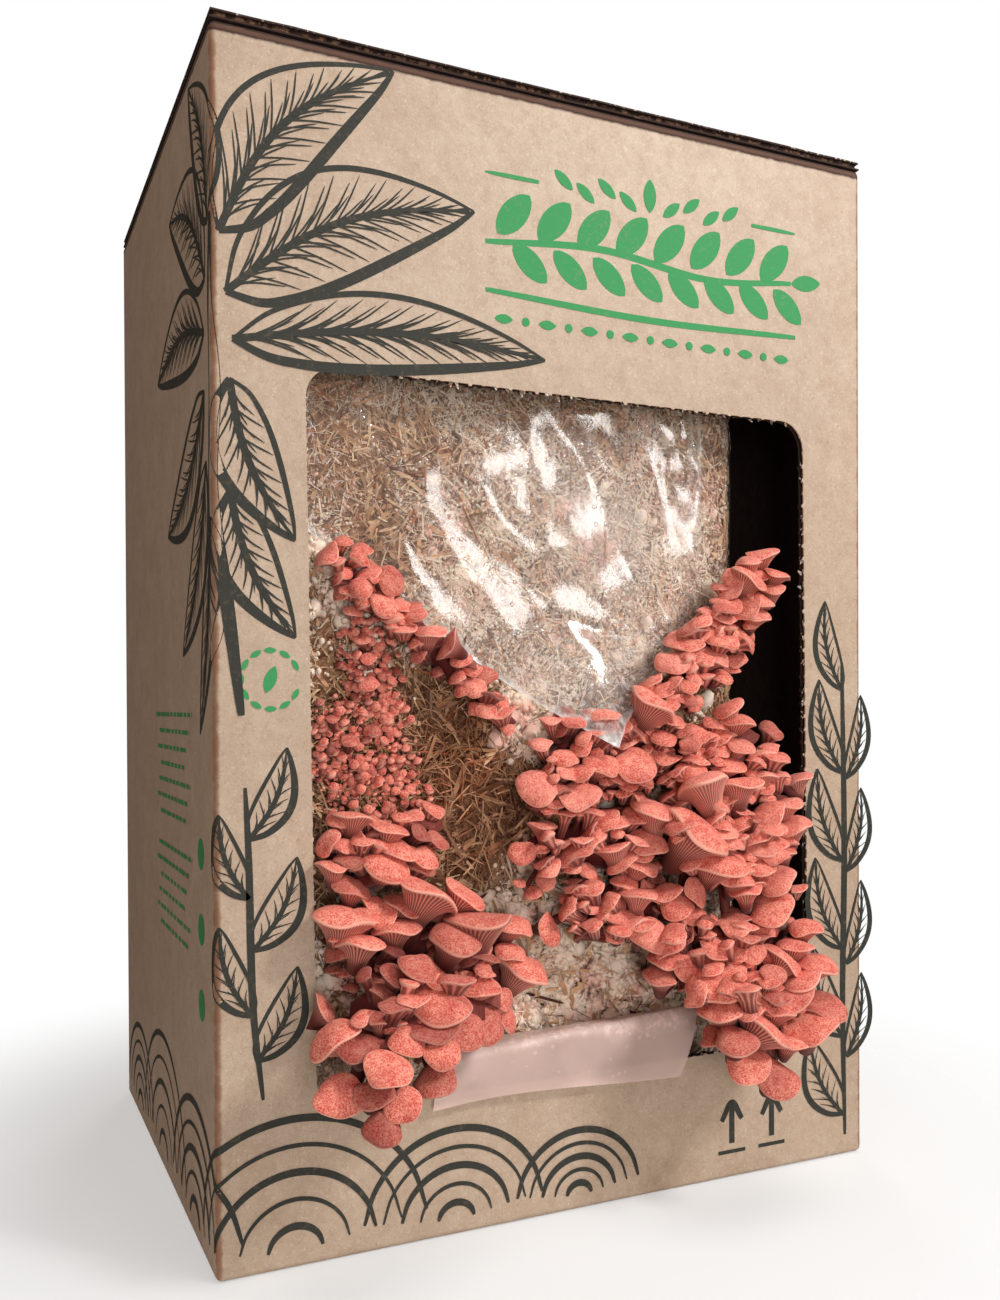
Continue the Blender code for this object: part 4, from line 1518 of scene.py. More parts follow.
def cut_film(bm):
    """Cuts the front of the film along the tongue and the flap, opens it, and refines what is left."""
    right, up = Vector((1, 0, 0)), Vector((0, 0, 1))
    for x in (CUT_LEFT, CUT_RIGHT, TONGUE_TIP.x, FLAP_LEFT, FLAP_RIGHT):
        cut_front(bm, lambda c: True, right * x, right)
    cut_front(bm, lambda c: CUT_LEFT < c.x < CUT_RIGHT, up * CUT_BOTTOM, up)
    for side, chosen in (
        (TONGUE_LEFT, lambda c: CUT_LEFT < c.x < TONGUE_TIP.x),
        (TONGUE_RIGHT, lambda c: TONGUE_TIP.x < c.x < CUT_RIGHT),
    ):
        along = (side - TONGUE_TIP).normalized()
        cut_front(bm, chosen, (TONGUE_TIP.x, 0, TONGUE_TIP.y), (-along.y, 0, along.x))
    opened = front_faces(bm, lambda c: uncovered(c.x, c.z))
    bmesh.ops.delete(bm, geom=opened, context="FACES")
    upper_edges = {e for f in front_faces(bm, lambda c: c.z > REFINED_FROM) for e in f.edges}
    bmesh.ops.subdivide_edges(bm, edges=list(upper_edges), cuts=2, use_grid_fill=True)
    bmesh.ops.triangulate(bm, faces=[f for f in bm.faces if len(f.verts) > 4])


def drape_film(bm):
    """Wrinkles the front of the film and lifts the tip of the tongue."""
    for vert in bm.verts:
        x, z = vert.co.x, vert.co.z
        at_front = clamp((BLOCK_LOW.y + DRAPED_DEPTH - vert.co.y) / DRAPED_SOFT)
        vert.co.y -= wrinkle(x, z) * at_front
        past_tip = Vector((x, z)) - TONGUE_TIP
        from_tip = past_tip.length
        if at_front and from_tip < TONGUE_LIFT_REACH and past_tip.y > -MM:
            vert.co.y -= TONGUE_LIFT * (1 - from_tip / TONGUE_LIFT_REACH) ** 2


def fold_flap(bm):
    """Draws the lower flap out of the cut's lower edge: over the sill, then down before the board."""
    snap = 0.00001
    rim = [
        e
        for e in bm.edges
        if e.is_boundary
        and all(abs(v.co.z - CUT_BOTTOM) < snap for v in e.verts)
        and all(FLAP_LEFT - snap < v.co.x < FLAP_RIGHT + snap for v in e.verts)
    ]
    for part in range(1, FLAP_ROWS + 1):
        grown = bmesh.ops.extrude_edge_only(bm, edges=rim)["geom"]
        verts = [v for v in grown if isinstance(v, bmesh.types.BMVert)]
        rim = [e for e in grown if isinstance(e, bmesh.types.BMEdge) and all(v in verts for v in e.verts)]
        for vert in verts:
            share = (vert.co.x - FLAP_LEFT) / (FLAP_RIGHT - FLAP_LEFT)
            vert.co.y, vert.co.z = flap_section(part / FLAP_ROWS, share)
            vert.co.x += (flap_side(part) - flap_side(part - 1)) * share**4
            vert.co.y -= 0.0009 * noise.noise(Vector((vert.co.x * 45, part * 0.35, 2.0)))


def film_form(place):
    """How white, how frosted and how wet the film is at a point of it. The white holds a painted glint at
    the tongue's tip and a veil that is partly a painted reflection.
    """
    x, z = place.x, place.z
    at_front = place.y < BLOCK_LOW.y + FRONT_DEPTH
    if place.y < FRONT + 0.006 and z < FLAP_TOP:
        return max(0.0, 0.6 * (1 - abs(z - FLAP_EDGE_Z) / FLAP_LINE)), 1.0, wetness(at_front, z), 1.0
    if not at_front:
        return 0.0, 0.0, 0.0, 1.0
    edge = abs(z - tongue_height(x)) if CUT_LEFT < x < CUT_RIGHT and z > CUT_BOTTOM + MM else 1.0
    white = max(0.0, 1 - edge / EDGE_LINE)
    if z > CREASES_FROM:
        creases = [abs(x - crease - CREASE_SLANT * (z - 0.22)) for crease in CREASES]
        white = max(white, 0.7 * (1 - min(creases) / CREASE_LINE))
    # Painted highlight: a white glint round the tongue's tip
    from_tip = (Vector((x, z)) - TONGUE_TIP).length
    white = max(white, 0.8 * (1 - from_tip / TIP_GLINT_REACH))
    # A milky veil over the upper film, partly a painted reflection of the broad gloss there
    veil = 0.6 + 0.9 * noise.noise(Vector((x * 60, 4.4, z * 30)))
    white = max(white, 0.60 * veil * near(x, z, *VEIL_AND_REFLECTION_PATCH))
    return white, 0.0, wetness(at_front, z), 1.0


def wetness(at_front, z):
    """The film is wet with small bubbles towards its cut edge."""
    return clamp((WET_FROM - z) / WET_SOFT) if at_front and z > CUT_BOTTOM + MM else 0.0


def make_film():
    """The bag round the block, open at its cut, with the tongue above it and the flap below."""
    film = block_shell("film_bag", FILM_CUTS, FILM_STANDS_OFF)
    bm = bmesh.new()
    bm.from_mesh(film.data)
    cut_film(bm)
    drape_film(bm)
    fold_flap(bm)
    bm.to_mesh(film.data)
    bm.free()
    points, (corners, sizes) = in_order(*shape_arrays(film))
    loops = [loop.tolist() for loop in np.split(corners, np.cumsum(sizes)[:-1])]
    film = mesh_object("film_bag", points, loops, clear_film())
    keep_rows(film.data, "form", [film_form(vert.co) for vert in film.data.vertices])
    shade(film)
    hand_over(film, "clear_film", "film_bag")


def flap_side(part):
    """How far the flap's right side stands past its cut at a row: it widens to the fold, then draws in."""
    t = part / FLAP_ROWS
    return FLAP_SPREAD * min(1.0, t / FOLD_AT) - FLAP_DRAWN * max(0.0, t - FOLD_AT) ** 2


def flap_section(t, share):
    """The flap's place (y, z) at t along it from the cut, and at a share of its width."""
    fold_z = FLAP_FOLD_Z[0] + share * (FLAP_FOLD_Z[1] - FLAP_FOLD_Z[0])
    start = Vector((BLOCK_LOW.y, CUT_BOTTOM))
    fold = Vector((FLAP_FOLD_Y, fold_z))
    edge = Vector((FLAP_EDGE_Y, FLAP_EDGE_Z + 0.0015 * math.sin(share * 5.0)))
    if t < FOLD_AT:
        spot = start.lerp(fold, t / FOLD_AT)
        spot.y += 0.0015 * math.sin(t / FOLD_AT * math.pi)
        return spot
    spot = fold.lerp(edge, (t - FOLD_AT) / PAST_FOLD)
    spot.x -= 0.0010 * math.sin((t - FOLD_AT) / PAST_FOLD * math.pi)
    return spot


# Mushrooms

# Outlines of caps from the stem's foot to the crown, as (half width, height). The cap's width is 1.
BELL = (
    (0.150, -1.00), (0.155, -0.85), (0.165, -0.72), (0.185, -0.60), (0.212, -0.48), (0.252, -0.36),
    (0.305, -0.26), (0.375, -0.165), (0.438, -0.084), (0.481, -0.039), (0.500, -0.009), (0.504, 0.012),
    (0.495, 0.032), (0.460, 0.054), (0.374, 0.080), (0.262, 0.099), (0.132, 0.110),
)
SMALL_BELL = (
    (0.17, -1.00), (0.19, -0.66), (0.25, -0.38), (0.34, -0.20), (0.44, -0.07), (0.495, 0.00),
    (0.500, 0.025), (0.45, 0.064), (0.25, 0.105),
)
ROUND_BELL = (
    (0.20, -1.00), (0.22, -0.60), (0.27, -0.34), (0.38, -0.14), (0.47, -0.05), (0.500, 0.00),
    (0.490, 0.040), (0.42, 0.090), (0.22, 0.125),
)
LONG_BELL = (
    (0.15, -1.00), (0.16, -0.74), (0.20, -0.50), (0.28, -0.28), (0.40, -0.10), (0.490, -0.01),
    (0.500, 0.020), (0.44, 0.050), (0.24, 0.080),
)
TINY_BELL = ((0.20, -1.00), (0.22, -0.60), (0.34, -0.22), (0.49, 0.00), (0.47, 0.09), (0.27, 0.17))
FAN_COLUMNS = (88, 96, 84)
CAP_COLUMNS = (60, 66, 56, 64, 70)
SMALL_SHAPES = (
    (SMALL_BELL, 20), (ROUND_BELL, 18), (LONG_BELL, 22), (SMALL_BELL, 24), (ROUND_BELL, 22),
    (LONG_BELL, 18), (SMALL_BELL, 22), (ROUND_BELL, 20), (LONG_BELL, 24), (SMALL_BELL, 18),
)
PIN = ((0.28, -1.00), (0.30, -0.35), (0.48, 0.00), (0.36, 0.22))
STEM_FROM = -0.55
STEM_BACK = 0.18
DOMES = (0.6, 1.7)
UPPER_FROM = 0.016
GILLS_FROM, GILLS_TO = -0.80, -0.01
NO_GILL = 0.55
FAN_GILLS, CAP_GILLS, SMALL_GILLS = 0.080, 0.095, 0.14
CROWN, SMALL_CROWN, TINY_CROWN, PIN_CROWN = 0.113, 0.12, 0.20, 0.28
FAN_WIDTH, CAP_WIDTH = 17, 10.5
DRAWN_WIDTH = 0.95
PLACED_WILD, SPREAD_WILD = 1.0, 1.4
SWELLING = 0.62
# Swellings get a very low tone: painted shade between the caps that grow from them
SWELLING_SHADED_FORM = (0.15, 0.0, 0.05, 1.0)

# Where small caps aren't spread: on swellings deeper than this, left of this, within this share of another
# cap's width, and over the film's flap (from x, to x, below z). Caps this near darken a small one with
# painted shade.
BURIED = -20
LEFT_OF_WINDOW = -94
CROWDED = 0.30
OVER_FLAP = (-40, 46, 66)
OVER_REACH = 10

# Spread caps: how many of five are small and not tiny, and their narrowest width and its range
SMALL_OF_FIVE = 3
SMALL_WIDTHS, TINY_WIDTHS = (7, 5), (4, 3.5)

# Painted light and shade: a factor on each bunch's tone, below 1 for bunches that get less light and above
# it for those that get more
COMMON_PAINTED_LIGHT = 1.05
BUNCH_PAINTED_LIGHT = {"bunch_left": 0.72, "bunch_lower_left": 0.60, "bunch_lower_right": 0.74, "bunch_upper_left": 0.90}


class CapShape:
    """A trumpet-shaped mushroom: rings from the foot of its stem to its crown, gills in its underside.

    Its width is 1. Each point keeps its ring, and how far it is a gill's crest and on the upper side.
    """

    def __init__(self, rings, columns, gill_depth, crown):
        foot = (0, 0, rings[0][1])
        bpy.ops.mesh.primitive_circle_add(
            vertices=columns, radius=rings[0][0], fill_type="NGON", location=foot
        )
        cap = settle(bpy.context.object)
        start_editing()
        for (half, height), (next_half, next_height) in zip(rings, rings[1:]):
            rise = (0, 0, next_height - height)
            bpy.ops.mesh.extrude_region_move(TRANSFORM_OT_translate={"value": rise})
            grow = next_half / half
            bpy.ops.transform.resize(value=(grow, grow, 1))
        bpy.ops.mesh.poke()
        bpy.ops.mesh.select_all(action="SELECT")
        bpy.ops.mesh.normals_make_consistent(inside=False)
        stop_editing()
        points, self.faces = in_order(*shape_arrays(cap))
        on_axis = np.hypot(points[:, 0], points[:, 1]) < 1e-5
        points[on_axis, 2] = crown
        self.heights = np.array([height for half, height in rings] + [crown])
        self.ring = np.abs(points[:, 2][:, None] - self.heights).argmin(axis=1)
        column = np.round(np.arctan2(points[:, 1], points[:, 0]) / (2 * math.pi) * columns + columns / 4)
        odd = column.astype(int) % 2 == 1
        within = (points[:, 2] > GILLS_FROM) & (points[:, 2] < GILLS_TO)
        share = (points[:, 2] - GILLS_FROM) / (GILLS_TO - GILLS_FROM)
        depth = gill_depth * np.sin(np.clip(share, 0, 1) * math.pi) ** 0.6
        pulled = 1 - depth * (odd & within)
        points[:, 0] *= pulled
        points[:, 1] *= pulled
        self.points = points
        self.crest = np.where(within, np.where(odd, 0.0, 1.0), NO_GILL)
        self.upper = np.clip((points[:, 2] + 0.020) / 0.075, 0, 1)


def placed(x, z, ahead):
    """The point seen at x and z in the front's plane, and this far ahead of it, in millimetres."""
    spot = Vector((x * MM, FRONT, z * MM))
    return spot.lerp(EYE, ahead * MM / (FRONT - EYE.y))


def facing(centre, rise, lean):
    """The direction of a cap's top, raised from the eye's direction and leant to the right."""
    to_eye = (EYE - centre).normalized()
    right = to_eye.cross(Vector((0, 0, 1))).normalized() * -1
    up = right.cross(to_eye).normalized() * -1
    upright = up * math.cos(lean) + right * math.sin(lean)
    return to_eye * math.cos(rise) + upright * math.sin(rise)


def nearest_on(line, point):
    """The point of a line, given by its two ends, that is nearest to another point."""
    start, end = line
    along = end - start
    share = (point - start).dot(along) / max(along.length_squared, 1e-12)
    return start.lerp(end, clamp(share))


def curve_between(start, start_pull, end, end_pull, share):
    """The point and the direction at a share of the way along a bent line."""
    s, s2, s3 = share, share**2, share**3
    point = start * (2 * s3 - 3 * s2 + 1) + start_pull * (s3 - 2 * s2 + s)
    point += end * (-2 * s3 + 3 * s2) + end_pull * (s3 - s2)
    pull = start * (6 * s2 - 6 * s) + start_pull * (3 * s2 - 4 * s + 1)
    pull += end * (-6 * s2 + 6 * s) + end_pull * (3 * s2 - 2 * s)
    return point, pull.normalized()


def cap_frames(shape, root, centre, top, width):
    """The middle and the three directions of each ring, up the bent stem and through the cap."""
    outward = centre - root
    outward = outward - top * outward.dot(top)
    outward = outward.normalized() if outward.length > 1e-5 else top.orthogonal().normalized()
    sideways = top.cross(outward)
    neck = centre + top * STEM_FROM * width - outward * STEM_BACK * width
    reach = (neck - root).length
    frames = []
    for height in shape.heights:
        if height > STEM_FROM:
            back = STEM_BACK * (min(0.0, height) / STEM_FROM) ** 1.5
            middle = centre + top * height * width - outward * back * width
            frames.append((middle, sideways, outward, top))
        else:
            share = (STEM_FROM - height) / (1 + STEM_FROM)
            root_pull = Vector((0, reach * 0.5, 0))
            middle, along = curve_between(neck, top * -reach, root, root_pull, share)
            up = along * -1
            right = (sideways - up * sideways.dot(up)).normalized()
            frames.append((middle, right, up.cross(right) * -1, up))
    return np.array(frames)


def uneven_form(shape, wild, draw):
    """How far each point is to the right, ahead and up: with an uneven rim, its curl and the top's dome."""
    x, y, z = shape.points.T
    angle = np.arctan2(y, x)
    share = np.hypot(x, y) / 0.5
    flare = np.clip((z + 0.5) / 0.5, 0, 1)
    turn = draw.random(6) * math.pi * 2
    wide = 0.07 * np.cos(2 * angle + turn[0]) + 0.05 * np.cos(3 * angle + turn[1])
    wide = wide + 0.025 * np.cos(5 * angle + turn[2])
    grown = 1 + flare * wide * wild
    lift = 0.045 * np.cos(2 * angle + turn[3]) + 0.040 * np.cos(3 * angle + turn[4])
    curl = 0.02 + 0.08 * draw.random()
    dome = DOMES[0] + (DOMES[1] - DOMES[0]) * draw.random() ** 2
    above = np.clip(z - UPPER_FROM, 0, 1)
    up_by = flare * share**3 * (lift * wild - curl * (z > -0.1) * share) + above * (dome - 1)
    return x * grown, y * grown, up_by


def grow_cap(crowd, shape, root, centre, top, width, tone, wild, draw):
    """Grows one cap from its root to its centre, with its top turned to the given direction.

    wild is how uneven its rim is. The stem bends from the cap's neck back to the root.
    """
    frames = cap_frames(shape, root, centre, top, width)[shape.ring]
    moved = frames[:, 0]
    for axis, offset in enumerate(uneven_form(shape, wild, draw), 1):
        moved = moved + frames[:, axis] * (offset * width)[:, None]
    # Painted shade: the tone falls down the stem towards the root
    stem_shade = np.clip((-0.16 - shape.points[:, 2]) / 0.42, 0, 1)
    tones = np.stack([shape.crest, shape.upper, tone * (1 - 0.9 * stem_shade), np.ones(len(stem_shade))], axis=1)
    crowd.add(moved, shape.faces, tones)


def swelling_points(line, radius, columns=14, rows=9):
    """A lumpy capsule round a line: the flesh that the caps grow from."""
    start, end = line
    along = (end - start).normalized() if (end - start).length > 1e-6 else Vector((1, 0, 0))
    side = along.cross(Vector((0, 1, 0.01))).normalized()
    other = along.cross(side)
    points = []
    for row in range(rows + 1):
        polar = math.pi * row / rows
        base = start.lerp(end, row / rows)
        for column in range(columns):
            angle = 2 * math.pi * column / columns
            out = side * math.cos(angle) * math.sin(polar) + other * math.sin(angle) * math.sin(polar)
            out = out - along * math.cos(polar)
            lump = 1 + 0.35 * noise.noise((base + out * radius) * 260)
            points.append(base + out * radius * lump)
    corners = []
    for row in range(rows):
        for column in range(columns):
            after = (column + 1) % columns
            first, second = row * columns, (row + 1) * columns
            corners.extend((first + column, first + after, second + after, second + column))
    sizes = np.full(rows * columns, 4, np.int32)
    return np.array(points), (np.array(corners, np.int32), sizes)


class CapStock:
    """The cap shapes by kind, handed out in turn."""

    def __init__(self):
        self.shapes = {
            "fan": [CapShape(BELL, columns, FAN_GILLS, CROWN) for columns in FAN_COLUMNS],
            "cap": [CapShape(BELL, columns, CAP_GILLS, CROWN) for columns in CAP_COLUMNS],
            "small": [CapShape(bell, columns, SMALL_GILLS, SMALL_CROWN) for bell, columns in SMALL_SHAPES],
            "tiny": [CapShape(TINY_BELL, 8, 0.0, TINY_CROWN)],
        }
        self.used = dict.fromkeys(self.shapes, 0)

    def next_of(self, kind):
        """The next shape of a kind."""
        self.used[kind] += 1
        return self.shapes[kind][self.used[kind] % len(self.shapes[kind])]


class Bunch:
    """One bunch: its swollen base, the caps placed one by one, and the small caps between them."""

    def __init__(self, name, swellings, stock, draw):
        self.swellings = swellings
        self.stock = stock
        self.draw = draw
        # The bunch's painted light and shade, a factor on its caps' tone
        self.tone = BUNCH_PAINTED_LIGHT.get(name, COMMON_PAINTED_LIGHT)
        self.crowd = Crowd()
        self.lines = []
        for x, z, end_x, end_z, ahead, radius in swellings:
            line = (placed(x, z, ahead), placed(end_x, end_z, ahead))
            self.lines.append(line)
            points, faces = swelling_points(line, radius * MM * SWELLING)
            self.crowd.add(points, faces, np.tile(np.array(SWELLING_SHADED_FORM), (len(points), 1)))

    def grow(self, shape, centre, top, width, tone, wild):
        """Grows a cap from the nearest place in the swollen base."""
        spots = [nearest_on(line, centre) for line in self.lines]
        root = min(spots, key=lambda spot: (spot - centre).length)
        grow_cap(self.crowd, shape, root, centre, top, width, tone * self.tone, wild, self.draw)

    def grow_placed(self, caps):
        """Grows the caps of the table."""
        for x, z, ahead, width, rise, lean in caps:
            centre = placed(x, z, ahead)
            top = facing(centre, math.radians(rise), math.radians(lean))
            kind = "fan" if width >= FAN_WIDTH else "cap" if width > CAP_WIDTH else "small"
            tone = 0.28 + 0.70 * self.draw.random()
            true_width = DRAWN_WIDTH * width * MM * (1 - ahead * MM / (FRONT - EYE.y))
            self.grow(self.stock.next_of(kind), centre, top, true_width, tone, PLACED_WILD)

    def spot_on(self, swelling):
        """A place over a swelling: x and z, how far it is off the swelling's line, and at which angle."""
        x, z, end_x, end_z = swelling[:4]
        radius = swelling[5]
        share = self.draw.random()
        off = radius * math.sqrt(self.draw.random())
        angle = self.draw.random() * math.pi * 2
        spot_x = x + (end_x - x) * share + off * math.cos(angle)
        spot_z = z + (end_z - z) * share + off * math.sin(angle)
        return spot_x, spot_z, off, angle

    def grow_between(self, caps, count):
        """Spreads small caps over the base where no other cap is."""
        draw = self.draw
        taken = [(x, z, width) for x, z, ahead, width, rise, lean in caps]
        bearing = [swelling for swelling in self.swellings if swelling[4] > BURIED]
        for index in range(count):
            swelling = bearing[index % len(bearing)]
            ahead, radius = swelling[4:]
            x, z, off, angle = self.spot_on(swelling)
            small = index % 5 < SMALL_OF_FIVE
            narrowest, spread = SMALL_WIDTHS if small else TINY_WIDTHS
            width = narrowest + spread * draw.random()
            crowded = any(math.hypot(x - at_x, z - at_z) < CROWDED * wide for at_x, at_z, wide in taken)
            if crowded or x < LEFT_OF_WINDOW:
                continue
            taken.append((x, z, width))
            forward = ahead + math.sqrt(radius**2 - off**2) - 1 + 4 * draw.random()
            centre = placed(x, z, forward)
            rise = math.radians(48 + 40 * draw.random())
            lean = math.radians(55 * math.cos(angle) * off / radius + 40 * (draw.random() - 0.5))
            top = facing(centre, rise, lean)
            # Painted shade: a small cap behind the placed caps near it gets a lower tone
            over_it = [cap[2] for cap in caps if math.hypot(x - cap[0], z - cap[1]) < OVER_REACH]
            shaded_depth = max(over_it, default=forward) - forward
            tone = 0.22 + 0.62 * draw.random() - 0.028 * max(0.0, min(8.0, shaded_depth))
            shape = self.stock.next_of("small" if small else "tiny")
            if OVER_FLAP[0] < x < OVER_FLAP[1] and z < OVER_FLAP[2]:
                # The numbers that the left-out cap would have drawn
                draw.random(8)
                continue
            self.grow(shape, centre, top, width * MM, tone, SPREAD_WILD)


def make_bunches(draw):
    """All seven bunches, and the crust of pins in the left one."""
    flesh = mushroom_flesh()
    stock = CapStock()
    pin = CapShape(PIN, 7, 0.0, PIN_CROWN)
    for name, (swellings, caps, fillers) in BUNCHES.items():
        bunch = Bunch(name, swellings, stock, draw)
        bunch.grow_placed(caps)
        bunch.grow_between(caps, fillers)
        if name == "bunch_left":
            grow_pins(bunch.crowd, pin, draw)
        piece = bunch.crowd.finish(name, flesh, "form")
        shade(piece)
        hand_over(piece, "mushroom_flesh", name)


def grow_pins(crowd, shape, draw):
    """The crust of pins that has just broken through the straw at the left."""
    for _ in range(PIN_COUNT):
        x = PINS_FROM[0] + PINS_OVER[0] * draw.random()
        z = PINS_FROM[1] + PINS_OVER[1] * draw.random()
        thick = max(near(x * MM, z * MM, *patch) for patch in PIN_PATCHES)
        if draw.random() > 2.0 * thick:
            continue
        surface = block_spot(x * MM, z * MM)
        width = (1.2 + 2.9 * draw.random() ** 2.2) * MM
        up = (0.3 + 1.3 * draw.random()) * width
        centre = surface + Vector((0.001 * (draw.random() - 0.6), -up, 0.3 * width))
        rise = math.radians(75 * draw.random())
        lean = math.radians(90 * (draw.random() - 0.5))
        tone = 0.14 + 0.62 * draw.random()
        grow_cap(crowd, shape, surface, centre, facing(centre, rise, lean), width, tone, PLACED_WILD, draw)


# The field of the pins, as its lower left corner and its size, and the patches in it where they stand
# thick, as (middle x, middle z, reach x, reach z)
PINS_FROM, PINS_OVER = (-95, 130), (46, 76)
PIN_PATCHES = (
    (-73, 190, 12, 16), (-70, 172, 14, 18), (-66, 152, 14, 20), (-82, 158, 14, 22), (-62, 140, 16, 14),
)

